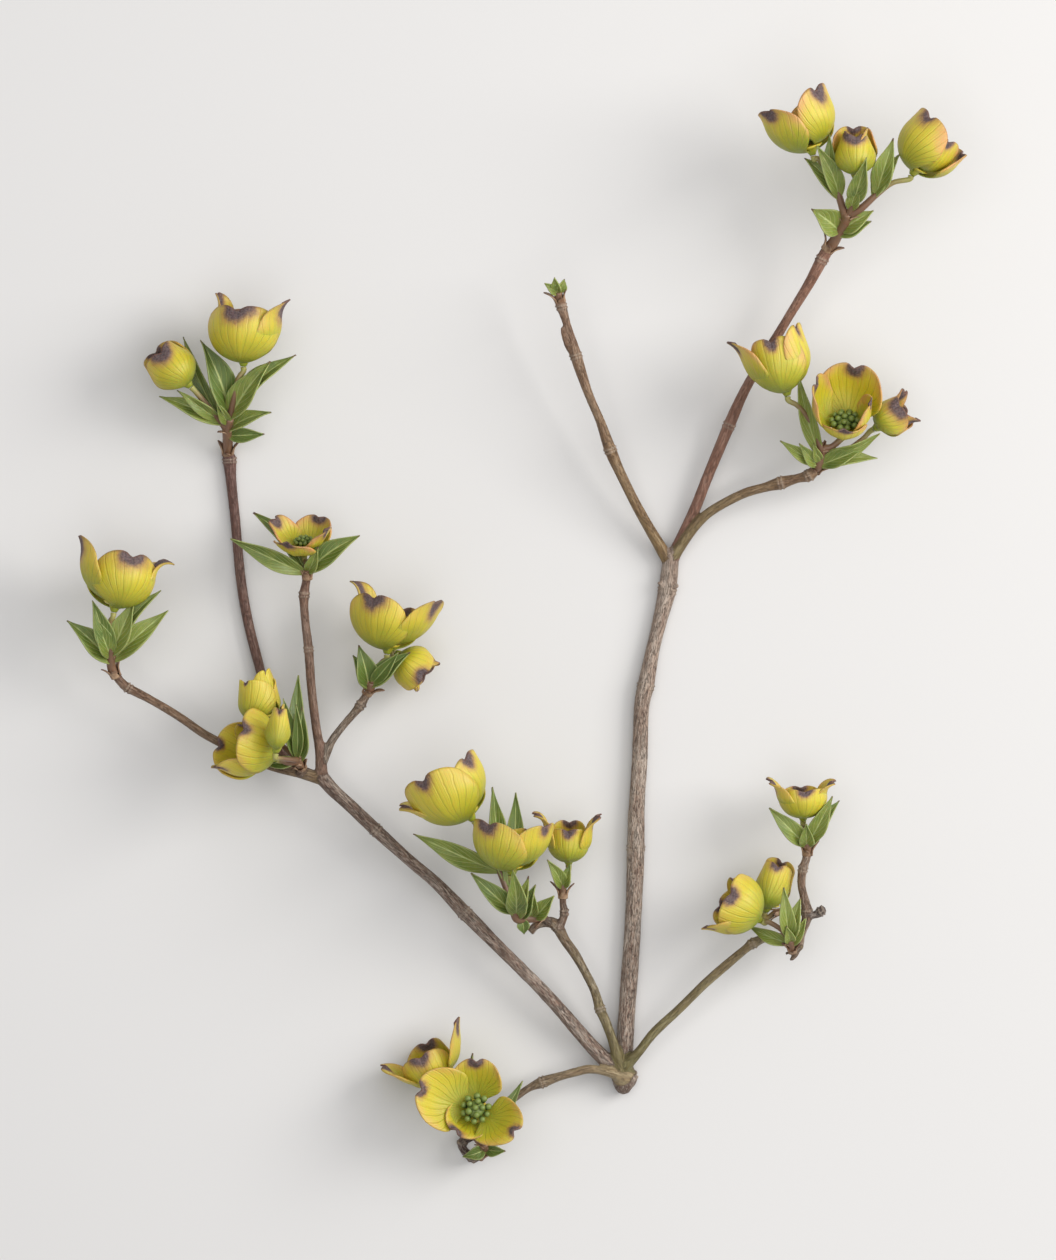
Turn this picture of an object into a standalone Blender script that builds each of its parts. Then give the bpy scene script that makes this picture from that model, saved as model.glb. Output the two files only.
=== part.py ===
"""Flowering dogwood branch: forked wood, leafy shoots, and blooms of four bracts round a flower head."""
import math

import bmesh
import bpy
from mathutils import Vector

# Driving dimensions, all lengths here and in the tables in millimetres
NAME = "flowering_dogwood_branch"
MM = 0.001
GAP = 0.3
BRACT_THICKNESS = 0.65
LEAF_THICKNESS = 0.62
BRACT_CELLS_ACROSS = 4
BRACT_CELLS_ALONG = 3
LEAF_CELLS_ALONG = 3
SMALL_LEAF = 6.2
WELD = 1e-6
GROUND_SIDE = 600
GROUND_DEPTH = 20

# Bract: its run from the receptacle, then shares of its length, of its half width and degrees
START_RADIUS = 1.5
NEST = 2.1
PROFILE_STEPS = 12
FOOT_RISE = 4
FOOT_SHARE = 0.08
WIDEST = 0.68
NARROWS_FROM = 0.62
TIP_NARROWING = 0.16
TIP_STARTS = 0.76
TIP_NOTCH = 0.06
NOTCH_WIDTH = 0.22
RIM_ROUNDNESS = 0.17

# Leaf: half width at its foot, and the fold and arch of its blade
LEAF_FOOT = 0.4
LEAF_FOLD = 0.45
LEAF_ARCH = 0.10

# Receptacle, flower button and stalk
RECEPTACLE_RADIUS = 2.1
RECEPTACLE_BELOW = 1.6
RECEPTACLE_ABOVE = 2.5
CLOSED_BUD_CORE = 3.4
HEAD_LIFT = 2.85
FLORETS = 5
STALK_RADIUS = 0.95
STALK_TOP_RADIUS = 1.1
STALK_STRAIGHT = 1.5
ROOT_STRAIGHT = 0.5

COLOURS = {
    "wood": ((0.17, 0.115, 0.085), 0.75),
    "shoot": ((0.22, 0.34, 0.07), 0.55),
    "bracts": ((0.66, 0.60, 0.10), 0.55),
    "head": ((0.09, 0.17, 0.04), 0.6),
}

# Each twig is a row of (x, y, z, radius), from its thick end to its tip
TWIGS = {
    "heel": [(-2, 1.5, 4.2, 3.4), (-1, -0.5, 3.9, 4.6), (-1, -4, 3.5, 3.4), (-0.5, -6, 2.8, 1.4)],
    "main_stem": [(-2, -1, 4, 4.2), (-1, 4.5, 3.7, 3.3), (-0.5, 16, 3.4, 3), (0.5, 30, 3.4, 3),
        (1.5, 44.5, 3.4, 3), (2.5, 61.5, 3.4, 2.95), (3, 79.5, 3.5, 3.15), (3.5, 96.5, 3.4, 2.8),
        (4.5, 112, 3.3, 2.8), (5, 128, 3.2, 2.7), (6.5, 136, 3.2, 2.95), (9, 149, 3, 2.5),
        (11.5, 159, 2.9, 2.6), (14, 169.5, 2.5, 3.2), (15, 178, 3.2, 3), (15.5, 183, 3.8, 2.8)],
    "upper_right_twig": [(15.5, 180, 3.5, 2.5), (20.5, 191, 4.5, 2.1), (24.5, 200, 5.5, 2),
        (29, 211.5, 6.5, 1.95), (35.5, 227, 8.5, 2.15), (41, 239.5, 10, 1.8), (49, 253, 12.5, 1.75),
        (56, 264.5, 15, 1.7), (63, 276, 17.5, 1.9), (67.5, 284.5, 20, 2.2), (69.5, 288, 21, 2.1)],
    "bare_twig": [(14.5, 180, 3.6, 2.4), (8.5, 190, 6, 2), (3, 199.5, 9, 1.85),
        (-2.5, 210.5, 12, 1.85), (-6, 218.5, 14, 2.1), (-9.5, 228.5, 16, 1.65),
        (-14, 239, 18.5, 1.65), (-18, 251, 20.5, 2.1), (-21, 261.5, 22, 1.4), (-23, 268, 23, 1.9),
        (-23.5, 270, 23.4, 1.8)],
    "middle_right_twig": [(16, 181.5, 4, 2.3), (22, 190, 6, 1.9), (27, 195.5, 7.5, 1.8),
        (33, 199.5, 9, 1.75), (41, 203.5, 10.5, 1.7), (48, 205.5, 11.5, 1.7), (53.5, 207, 12.5, 2.3),
        (59, 208.5, 13.5, 1.65), (63, 209.5, 14.5, 2.1), (65.5, 211.5, 15.2, 1.9)],
    "left_arm": [(-2, 0, 4.6, 3.2), (-9.5, 7.5, 6, 2.7), (-16, 14.5, 7, 2.5), (-25, 25, 9, 2.35),
        (-33.5, 34, 10.5, 2.25), (-45.5, 46, 12, 2.25), (-56.5, 57, 13, 2.6),
        (-65.5, 66.5, 13.5, 2.2), (-76.5, 76, 14.2, 2.1), (-87.5, 86, 15, 2.35), (-96, 94, 15, 2.3),
        (-102, 99.5, 15, 2.35), (-106.5, 104.5, 15, 2.6)],
    "far_left_twig": [(-105.5, 103.5, 15, 2.3), (-114, 106, 15, 2), (-121, 107.5, 15.3, 1.7),
        (-128.5, 110, 15.7, 1.6), (-136.5, 114, 16, 1.6), (-146.5, 119, 16.5, 1.55),
        (-156, 125.5, 17, 1.5), (-166, 131.5, 17.5, 1.5), (-173.5, 135.5, 18, 1.7),
        (-176, 137.5, 18.3, 1.6), (-178, 140, 18.7, 1.6)],
    "top_left_twig": [(-106.5, 104, 14.5, 2.1), (-114, 107, 11.5, 1.8), (-120, 111.5, 8.5, 1.75),
        (-125, 122.5, 5, 1.7), (-127.5, 138.5, 3.2, 1.75), (-132, 156, 2.6, 1.8),
        (-135, 173, 2.4, 1.8), (-137, 194, 2.3, 1.8), (-138.5, 208, 2.3, 1.9), (-139, 215, 2, 2.45),
        (-139.5, 217.5, 2.8, 2)],
    "inner_left_twig": [(-106.5, 105.5, 15.2, 2.3), (-107, 113.5, 15.5, 1.9),
        (-108.5, 122.5, 16, 1.6), (-110, 135, 16.5, 1.6), (-111, 149, 17, 1.65),
        (-112, 157.5, 17.5, 1.55), (-112.5, 164, 18, 1.6), (-112.5, 168, 18.3, 1.85),
        (-112, 171.5, 18.6, 1.55), (-111.5, 174, 19, 1.6)],
    "centre_left_twig": [(-106.5, 109, 15.4, 1.8), (-103, 117, 15.6, 1.5), (-98.5, 123, 15.8, 1.4),
        (-95, 127, 16, 1.5), (-93, 129.5, 16.3, 1.8), (-91.5, 132, 16.6, 1.5), (-90.5, 134, 17, 1.6)],
    "centre_twig": [(-2, 2, 6, 2.3), (-5, 12, 8, 1.75), (-7.5, 19, 9, 1.8), (-9.5, 23.5, 9.5, 1.9),
        (-11.5, 30, 10.5, 1.6), (-15, 37, 11.5, 1.6), (-18.5, 43, 12.5, 1.8), (-22, 48, 13.2, 1.8),
        (-24.5, 52.5, 13.6, 2.1), (-27.5, 54, 13.8, 1.9), (-31.5, 53, 13.8, 1.5),
        (-34, 50.5, 13.9, 1.5)],
    "centre_spur": [(-24, 51.5, 13.8, 1.7), (-22.5, 55, 14.5, 1.5), (-22, 57.5, 15, 1.55),
        (-22.5, 60.5, 15.5, 1.3), (-22.5, 63, 16, 1.35)],
    "centre_leaf_spur": [(-27.5, 54, 14, 1.6), (-28.5, 55, 15.4, 1.4), (-30, 56, 16.6, 1.3)],
    "lower_left_twig": [(-1, -0.5, 6.4, 2.2), (-7, 1.5, 8, 1.6), (-13, 2.5, 8.8, 1.65),
        (-18, 1.5, 9, 1.65), (-23.5, 0, 9, 1.6), (-29.5, -2, 9, 2), (-34, -4, 8.6, 1.4),
        (-39, -7.5, 8, 1.35), (-44, -12, 7.2, 1.35), (-48, -16, 6.4, 1.4), (-50.5, -19.5, 6, 1.5)],
    "lower_left_spur": [(-48.5, -17, 6.2, 1.4), (-53, -20.5, 5.4, 1.5), (-57.5, -23, 5, 1.7),
        (-57, -26, 4.4, 1.5), (-54, -28.5, 4, 2), (-51.5, -28, 4.6, 1.5)],
    "right_twig": [(-1, 3, 6, 2.3), (4, 8.5, 8, 1.7), (9.5, 15.5, 9.5, 1.7), (18.5, 24, 11, 1.65),
        (26.5, 32, 12.5, 1.65), (35, 39.5, 13.5, 1.65), (41, 44.5, 14, 1.5), (43.5, 46.5, 14.3, 1.9),
        (48, 48.5, 14.8, 1.45), (53, 49, 15.3, 1.4), (57.5, 47.5, 15.6, 1.6), (59.5, 45.5, 15.8, 1.9)],
    "right_spur": [(59.5, 45, 15.6, 1.8), (60.5, 50, 16, 1.6), (62, 54, 16.4, 1.7),
        (62.5, 57.5, 16.6, 2), (61.5, 62.5, 17, 1.5), (60.5, 67.5, 17.3, 1.45),
        (61, 72.5, 17.6, 1.65), (62, 75.5, 17.9, 1.5), (62.5, 78, 18.2, 1.6)],
    "right_stub": [(62, 57, 16.6, 1.4), (65, 56.5, 16.6, 1.3), (67.5, 58, 16.9, 1.8),
        (69, 58.5, 17, 1)],
    "right_leaf_spur": [(59.5, 45.5, 15.8, 1.6), (58.5, 44.5, 16.6, 1.5), (57.5, 44.5, 17.4, 1.4)],
    "right_back_stalk": [(62, 57.5, 15.8, 1.2), (58, 57.5, 14, 0.9), (55.5, 57.5, 12.9, 0.9),
        (53.5, 57.5, 12.4, 1)],
    "lower_left_leaf_spur": [(-114, 106, 15.6, 1.7), (-113.5, 107, 17, 1.4), (-113.5, 108, 18.2, 1.4)],
}

# Bloom: foot of the cup, heading in the picture plane, lift off it, head size, how far along its bracts
# stop steepening, and four bracts, each with its turn, length, half width, steepest rise and tip bend
BLOOMS = {
    "a1": ((-133.5, 249, 21), 88, 8, 3.6, 0.78, [
        (350, 27, 18, 108, 0), (78, 28.5, 15, 94, 60), (170, 23, 15, 104, 0), (256, 29, 12, 112, 60)]),
    "a2": ((-153, 241.5, 20), 134, 8, 3, 0.62, [
        (8, 20, 13, 110, 0), (98, 19.5, 11, 104, 10), (188, 20, 12, 104, 20), (278, 19.5, 11, 104, 0)]),
    "b1": ((-178, 163.5, 28), 80, -4, 3.6, 0.78, [
        (22, 25.5, 16, 108, 0), (116, 26, 13, 92, 120), (194, 22, 15, 96, 0), (283, 30, 13, 87, 35)]),
    "c1": ((-123.5, 111.5, 25), 156, 20, 3.4, 0.74, [
        (26, 25, 14, 92, 0), (118, 20, 12, 96, 0), (200, 23, 13, 92, 10), (290, 25, 11.5, 92, 25)]),
    "c2": ((-127, 124.5, 19.5), 98, 10, 2.8, 0.55, [
        (318, 19, 12.5, 100, 0), (44, 22, 9.5, 98, 15), (138, 17, 10, 98, 0), (228, 17, 10, 100, 0)]),
    "c3": ((-121.5, 115, 42.5), 84, 8, 0, 0.36, [
        (0, 16.5, 7, 104, 0), (92, 17.5, 6, 102, 20), (180, 16, 7, 104, 0), (268, 16, 6, 102, 0)]),
    "d1": ((-112.5, 183, 21), 93, 26, 2.9, 0.78, [
        (330, 14, 9, 66, 60), (58, 15, 8, 68, 20), (150, 14.5, 9, 64, 20), (238, 15.5, 8.5, 60, 30)]),
    "e1": ((-83.5, 149, 21), 84, 4, 3.4, 0.76, [
        (332, 26.5, 13.5, 91, 0), (62, 28, 13, 72, 15), (160, 20, 12.5, 92, 0), (246, 28, 10, 98, 95)]),
    "e2": ((-79.5, 147, 13), 322, 6, 0, 0.62, [
        (5, 16, 11, 92, 0), (95, 16, 9, 88, 10), (185, 15, 11, 92, 0), (275, 16, 9, 88, 20)]),
    "f1": ((-54.5, 91, 27), 124, 8, 3.4, 0.76, [
        (328, 30.5, 17, 100, 0), (52, 28, 15, 88, 0), (160, 20, 13, 98, 0), (260, 25, 12, 64, 35)]),
    "f2": ((-40.5, 72.5, 31), 88, 10, 3.4, 0.76, [
        (318, 26, 15, 92, 0), (50, 26, 14.5, 78, 10), (140, 18, 13, 88, 0), (232, 20, 13, 92, 0)]),
    "f3": ((-20.5, 75.5, 14.5), 90, 14, 2.8, 0.6, [
        (358, 16, 10.5, 100, 15), (84, 20, 9, 82, 60), (178, 16, 10, 96, 20), (278, 21, 7.5, 84, 80)]),
    "g1": ((-52.5, -12, 16.5), 105, 74, 4.6, 0.78, [
        (306, 12.5, 10, 60, 50), (42, 19.5, 12, 44, 30), (164, 19, 10, 56, 40), (238, 24, 14, 46, 10)]),
    "g2": ((-65.5, -2, 8.3), 120, 16, 3.2, 0.7, [
        (350, 19.5, 11.5, 96, 0), (68, 27, 9, 68, 15), (165, 17, 11, 92, 10), (268, 22, 10, 66, 20)]),
    "h1": ((61, 91, 20), 91, 14, 3, 0.76, [
        (3, 15.5, 15, 96, 0), (84, 16, 10.5, 80, 70), (186, 12.5, 11, 84, 0), (280, 18, 11, 78, 60)]),
    "h2": ((45, 55.5, 21.5), 150, 14, 3, 0.74, [
        (16, 22, 14, 98, 0), (105, 20, 12, 92, 0), (200, 17, 11.5, 90, 10), (286, 21.5, 11.5, 78, 20)]),
    "h3": ((48.5, 59, 12.3), 74, 8, 2.6, 0.42, [
        (350, 19.5, 9.5, 100, 0), (80, 19, 8.5, 98, 15), (170, 20, 9.5, 98, 10),
            (260, 19, 8.5, 98, 0)]),
    "i1": ((63.5, 321.5, 36), 106, 8, 3.2, 0.7, [
        (308, 25.5, 11.5, 86, 45), (46, 29, 13.5, 98, 0), (146, 21, 11, 98, 0), (240, 21, 11, 72, 10)]),
    "i2": ((78.5, 313.5, 38), 91, 10, 2.9, 0.6, [
        (0, 18, 14, 112, 0), (92, 18.5, 10, 104, 40), (182, 19.5, 11, 102, 30),
            (270, 18, 10, 106, 20)]),
    "i3": ((99, 314.5, 34), 57, 10, 3.2, 0.68, [
        (316, 26.5, 13.5, 104, 0), (36, 22, 12, 92, 0), (112, 20, 11.5, 80, 10), (215, 22, 12, 98, 0)]),
    "j1": ((55, 238.5, 28), 103, 8, 3.2, 0.66, [
        (346, 26, 12.5, 103, 0), (62, 29.5, 12, 98, 0), (165, 21, 11, 98, 0), (283, 28, 12, 80, 45)]),
    "j2": ((75, 225, 23), 88, 44, 4.4, 0.72, [
        (0, 13.5, 11, 76, 60), (84, 20, 11, 88, 0), (168, 25.5, 14, 84, 10), (256, 27, 12, 92, 10)]),
    "j3": ((87, 226.5, 17.5), 32, 12, 0, 0.56, [
        (340, 15, 10, 96, 0), (70, 16, 8, 90, 40), (160, 14, 9, 96, 0), (250, 17, 8, 92, 40)]),
}

# Shoot: the twig it grows from, then its stems; a named stem carries that bloom
SHOOTS = {
    "a": ("top_left_twig", [
        ("", [(-139.5, 222, 6.5, 1.8), (-139.5, 226, 10, 1.75), (-138.5, 229.5, 13.5, 1.5)]),
        ("a1", [(-139.5, 226, 10, 1.4), (-137.5, 234, 17, 1.1), (-135.5, 242.5, 20.3, 1)]),
        ("a2", [(-139.5, 225.5, 9.5, 1.4), (-143.5, 230.5, 14.5, 1), (-148, 236, 18.5, 1)]),
    ]),
    "b": ("far_left_twig", [
        ("", [(-179.5, 143, 20, 1.6), (-179.5, 146.5, 22, 1.6), (-179.5, 149, 23.5, 1.35)]),
        ("b1", [(-179.5, 147, 22.5, 1.3), (-180, 153, 26, 1.1), (-179.5, 158.5, 27.5, 1)]),
    ]),
    "c": ("lower_left_leaf_spur", [
        ("", [(-114, 109, 20, 1.5), (-115, 111, 22, 1.7)]),
        ("c1", [(-114.5, 110, 21.5, 1.3), (-118, 109.5, 23.6, 0.9), (-120.5, 110.5, 24.4, 0.9)]),
        ("c2", [(-115, 111, 22, 1.3), (-120.5, 116, 20.4, 0.85), (-126, 120.5, 19.4, 0.85)]),
        ("c3", [(-114.5, 110.5, 21.2, 1.15), (-117.5, 111, 34.5, 0.8), (-120.5, 111.5, 40.5, 0.8)]),
    ]),
    "d": ("inner_left_twig", [
        ("", [(-111.5, 176.5, 19.8, 1.5), (-111.5, 178, 20.2, 1.5)]),
        ("d1", [(-111.5, 176.5, 19.9, 1.25), (-111.5, 179, 20.6, 1)]),
    ]),
    "e": ("centre_left_twig", [
        ("", [(-89.5, 135.5, 18.3, 1.6), (-89, 137.5, 19.5, 1.5)]),
        ("e1", [(-89, 137, 19.2, 1.2), (-87, 142, 20.5, 0.9), (-85.5, 144.5, 20.8, 0.9)]),
        ("e2", [(-89.5, 137, 18.8, 1.2), (-85.5, 142, 15.5, 0.85), (-82, 145, 13.8, 0.85)]),
    ]),
    "f": ("centre_leaf_spur", [
        ("", [(-32, 55.5, 18.5, 1.5), (-36, 55.5, 20, 1.6), (-38.5, 55.5, 22, 1.6),
            (-40, 59, 24.5, 1.3)]),
        ("f1", [(-39.5, 58, 23.5, 1.2), (-43.5, 69, 22, 1), (-48.5, 81, 24.5, 1),
            (-52.5, 87.5, 26.3, 1)]),
        ("f2", [(-39, 57.5, 22.8, 1.1), (-40, 64, 29, 0.95), (-40, 68, 30.6, 0.95)]),
    ]),
    "f3": ("centre_spur", [
        ("", [(-22.5, 65.5, 16.6, 1.35), (-22.5, 67.5, 17, 1.3)]),
        ("f3", [(-22.5, 66.5, 16.8, 1.1), (-22, 70, 16.6, 0.9), (-21, 72, 14.8, 0.9)]),
    ]),
    "g": ("lower_left_spur", [
        ("", [(-49.5, -26, 6.2, 1.4), (-50, -23.5, 8.6, 1.6)]),
        ("g1", [(-50, -24.5, 7.6, 1.3), (-50.5, -21.5, 10.5, 1), (-52, -15.5, 13, 1)]),
        ("g2", [(-50, -24, 8.2, 1.15), (-56.5, -18.5, 9.6, 0.9), (-62, -9.5, 8.7, 0.9)]),
    ]),
    "h1": ("right_spur", [
        ("", [(62.5, 80.5, 19.4, 1.5), (62.5, 82, 20, 1.5)]),
        ("h1", [(62.5, 81, 19.6, 1.25), (61.5, 85, 20.3, 0.95)]),
    ]),
    "h2": ("right_leaf_spur", [
        ("", [(57, 46, 19.5, 1.3), (56.5, 48, 21, 1.5)]),
        ("h2", [(56.5, 47, 20, 1.1), (53.5, 51.5, 21.5, 0.9), (48.5, 54.5, 21.5, 0.9)]),
    ]),
    "h3": ("right_back_stalk", [
        ("h3", [(51, 57, 12.2, 0.9), (49, 55.5, 12, 0.9)]),
    ]),
    "i": ("upper_right_twig", [
        ("", [(71.5, 290.5, 22.5, 1.95), (73.5, 294, 25, 1.8), (75.5, 297.5, 28, 1.75),
            (76, 300, 30, 1.7)]),
        ("i1", [(75.5, 298, 28.2, 1.35), (73.5, 304.5, 32, 1.3), (71, 311.5, 34, 1.1),
            (66, 318.5, 35.7, 0.95)]),
        ("i2", [(76, 298.5, 28.4, 1.4), (78, 304, 33, 1.4), (78.5, 308.5, 36.8, 1.1)]),
        ("i3", [(77, 299.5, 29.7, 1.35), (81, 302, 32, 1.3), (86, 306.5, 33.5, 1.1),
            (91.5, 310.5, 33.8, 0.95)]),
    ]),
    "j": ("middle_right_twig", [
        ("", [(66.5, 213, 17, 1.7), (67.5, 216.5, 18.5, 1.65), (68, 219.5, 19.8, 1.6)]),
        ("j1", [(67.5, 217.5, 19.5, 1.3), (64.5, 226, 23.5, 1), (59.5, 233, 27, 0.95)]),
        ("j2", [(68, 219, 19.8, 1.3), (71, 219.5, 20, 1.1), (74, 222, 20.3, 1.1)]),
        ("j3", [(67.5, 217, 18.9, 1.3), (74.5, 217.5, 17.2, 0.9), (81.5, 222, 17, 0.85)]),
    ]),
    "k": ("bare_twig", [
        ("", [(-24, 271.5, 24.2, 1.6), (-24, 273, 25.2, 1.3)]),
    ]),
}

# Leaf of a shoot: foot, point, width and roll of the blade
LEAVES = {
    "a": [
        ((-139, 229, 13), (-148.5, 256.5, 20), 10.5, -25),
        ((-141.5, 227.5, 11), (-155, 258, 9), 5.5, 20),
        ((-138, 228.5, 14), (-124, 249, 24), 9.5, 20),
        ((-137, 229.5, 13), (-115.5, 251.5, 18), 8.5, 35),
        ((-140.5, 227.5, 12), (-163, 237, 17), 6.5, -10),
        ((-141.5, 228, 13), (-156.5, 239, 21), 4.5, 15),
        ((-138.5, 225, 9.5), (-124, 231.5, 15), 6, 30),
        ((-138.5, 223, 8.5), (-126.5, 224, 11), 5, 0),
        ((-140, 227, 12.5), (-143, 235.5, 20), 3.5, 0),
    ],
    "b": [
        ((-180, 144, 21), (-194.5, 159, 27), 8, -15),
        ((-180, 145.5, 22), (-184.5, 160, 30), 6.5, -20),
        ((-179.5, 147, 23), (-185.5, 166, 31), 7, -10),
        ((-179, 146.5, 22.5), (-171, 166, 28), 8.5, 15),
        ((-179, 145.5, 22), (-162, 169.5, 28), 7, 30),
        ((-179, 144.5, 21), (-159.5, 162.5, 24), 8, 10),
    ],
    "c": [
        ((-114.5, 109.5, 20), (-113, 129, 27), 6.5, 10),
        ((-115.5, 111.5, 22), (-114.5, 140, 19), 5.5, 0),
        ((-115.5, 111.5, 22), (-119.5, 132, 29), 5, -20),
        ((-114.5, 111.5, 22), (-115, 130, 30), 3.5, 0),
        ((-115, 110.5, 21.5), (-127, 109, 20), 4, 0),
    ],
    "d": [
        ((-112, 175, 19), (-130.5, 196.5, 11), 7.5, -30),
        ((-112.5, 174.5, 21), (-138, 187.5, 23), 6.5, 10),
        ((-111, 175.5, 20), (-93, 188.5, 25), 8, 15),
        ((-111, 175, 20.2), (-107.5, 184.5, 27), 4, 0),
    ],
    "e": [
        ((-89.5, 134, 18), (-93.5, 150.5, 24), 8, -15),
        ((-90, 135, 18), (-95.5, 147, 20), 6.5, -25),
        ((-88, 135.5, 18.5), (-75.5, 148, 24), 7, 20),
        ((-88, 136.5, 19), (-79.5, 148, 27), 4.5, 0),
    ],
    "f": [
        ((-40, 57, 23), (-54.5, 71.5, 30), 7, -15),
        ((-39, 56.5, 23), (-40, 73, 39), 7.5, 0),
        ((-38, 56, 22), (-34.5, 70.5, 34), 5.5, 20),
        ((-36, 55.5, 21), (-32, 67.5, 30), 5, 20),
        ((-33, 55.5, 19.5), (-33, 65.5, 26), 4, 0),
        ((-32, 55.5, 19.5), (-25.5, 63.5, 25), 6, 15),
        ((-44.5, 71.5, 23), (-74.5, 85, 25), 7.5, 10),
        ((-43.5, 69, 23), (-47, 101, 12), 6.5, -15),
        ((-42, 66, 23.5), (-39, 99, 11), 7, -5),
        ((-37, 55.5, 20.5), (-36, 50, 19), 4, 0),
    ],
    "f3": [
        ((-23, 65.5, 18), (-28, 76, 24), 4.5, -10),
        ((-22, 65.5, 18), (-20, 74.5, 22), 4, 10),
    ],
    "g": [
        ((-50, -25.5, 6.4), (-57.5, -28, 10), 4.5, 0),
        ((-49.5, -25.5, 6.4), (-42.5, -26, 10), 4, 0),
        ((-49.5, -24.5, 8), (-36.5, -1.5, 11), 5.5, 10),
        ((-55.5, -18, 9.6), (-54, 8, 7.5), 4.5, 0),
    ],
    "h1": [
        ((61.5, 80.5, 19), (49, 94, 24), 6.5, -10),
        ((62, 80, 19.5), (62, 88.5, 26), 5, 0),
        ((63, 81, 19.5), (71, 98, 26), 6, -5),
        ((63, 80, 19), (73.5, 96.5, 22), 6, 20),
    ],
    "h2": [
        ((56, 47.5, 21), (54, 66.5, 28), 5.5, -10),
        ((57, 47.5, 20.5), (60, 63, 26), 5.5, 15),
        ((56.5, 46.5, 20.5), (55, 53, 26), 3.5, 0),
        ((56.5, 46.5, 20), (42.5, 52.5, 15), 4.5, 0),
        ((57, 46, 19.5), (62, 56, 24), 3.5, 0),
    ],
    "h3": [
    ],
    "i": [
        ((74, 305, 32), (61, 319, 34), 6.5, -15),
        ((74, 305.5, 32), (65, 323, 40), 6.5, -10),
        ((71.5, 310, 33.5), (69.5, 327, 39), 4.5, 15),
        ((78.5, 303.5, 32), (82, 318.5, 47), 6.5, 0),
        ((86, 306, 33.5), (91.5, 325.5, 41), 7.5, 10),
        ((85, 305, 33), (94, 320.5, 36), 6, 20),
        ((73.5, 294, 25), (63.5, 301.5, 32), 9.5, -10),
        ((74.5, 294, 25), (85, 301, 31), 7, 10),
        ((73.5, 292.5, 24), (84.5, 297.5, 27), 5.5, 10),
        ((77, 301, 31), (79.5, 311, 40), 4.5, 0),
    ],
    "j": [
        ((67.5, 215.5, 18.5), (59, 245, 27), 5.5, 5),
        ((69, 216.5, 19), (87.5, 224, 25), 5, -30),
        ((66, 213.5, 17.5), (53, 221.5, 22), 4.5, 0),
        ((66, 212, 17), (59.5, 220.5, 24), 4.5, 0),
        ((67, 213, 17), (82.5, 219.5, 23), 6, 10),
        ((66.5, 212, 16.5), (87, 215.5, 17), 6, 25),
        ((67.5, 214, 18), (64.5, 220.5, 24), 3, 0),
    ],
    "k": [
        ((-24, 272.5, 24.4), (-29, 276, 27.5), 3, 0),
        ((-24.5, 274, 25.2), (-25.5, 278, 28.5), 3.5, 30),
        ((-24, 273, 24.8), (-22, 277.5, 26), 3.5, -30),
    ],
}


def direction(heading, lift):
    """The unit vector of a heading in the picture plane raised by a lift, both in degrees."""
    a, e = math.radians(heading), math.radians(lift)
    return Vector((math.cos(a) * math.cos(e), math.sin(a) * math.cos(e), math.sin(e)))


def cup_frame(bloom):
    """The foot of a bloom's cup with its side, front and axis vectors."""
    foot, heading, lift = BLOOMS[bloom][:3]
    axis = direction(heading, lift)
    up = Vector((0, 0, 1))
    front = (up - axis * up.dot(axis)).normalized()
    return Vector(foot), axis.cross(front), front, axis


def twig_end(twig):
    """The end point and heading of a twig."""
    last, before = TWIGS[twig][-1], TWIGS[twig][-2]
    end = Vector(last[:3])
    return end, (end - Vector(before[:3])).normalized()


def material(name, kind):
    colour, roughness = COLOURS[kind]
    mat = bpy.data.materials.new(name)
    mat.use_nodes = True
    shader = mat.node_tree.nodes["Principled BSDF"]
    shader.inputs["Base Color"].default_value = (*colour, 1)
    shader.inputs["Roughness"].default_value = roughness
    shader.inputs["Metallic"].default_value = 0
    return mat


def mesh_object(name, bm):
    mesh = bpy.data.meshes.new(name)
    bm.to_mesh(mesh)
    bm.free()
    thing = bpy.data.objects.new(name, mesh)
    bpy.context.scene.collection.objects.link(thing)
    return thing


def applied(thing):
    """The same object with its modifiers made real and its place kept in the mesh."""
    bpy.context.view_layer.update()
    solid = thing.evaluated_get(bpy.context.evaluated_depsgraph_get())
    mesh = bpy.data.meshes.new_from_object(solid)
    mesh.transform(thing.matrix_world)
    name = thing.name
    bpy.data.objects.remove(thing)
    made = bpy.data.objects.new(name, mesh)
    bpy.context.scene.collection.objects.link(made)
    return made


def tube(name, points, roundness):
    """A round stem along the points, as thick at each as its fourth value."""
    line = bpy.data.curves.new(name, "CURVE")
    line.dimensions = "3D"
    line.bevel_depth = MM
    line.bevel_resolution = roundness
    line.use_fill_caps = True
    spline = line.splines.new("POLY")
    spline.points.add(len(points) - 1)
    for point, (x, y, z, radius) in zip(spline.points, points):
        point.co = (x * MM, y * MM, z * MM, 1)
        point.radius = radius
    stem = bpy.data.objects.new(name, line)
    bpy.context.scene.collection.objects.link(stem)
    made = applied(stem)
    bm = bmesh.new()
    bm.from_mesh(made.data)
    bmesh.ops.remove_doubles(bm, verts=bm.verts, dist=WELD)
    bmesh.ops.recalc_face_normals(bm, faces=bm.faces)
    bm.to_mesh(made.data)
    bm.free()
    return made


def blade(name, bm, thickness):
    """A thin sheet given its thickness, its cells split alike on both faces."""
    bmesh.ops.triangulate(bm, faces=bm.faces)
    bmesh.ops.scale(bm, vec=(MM, MM, MM), verts=bm.verts)
    sheet = mesh_object(name, bm)
    skin = sheet.modifiers.new("thickness", "SOLIDIFY")
    skin.thickness = thickness * MM
    skin.offset = 0
    return applied(sheet)


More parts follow.
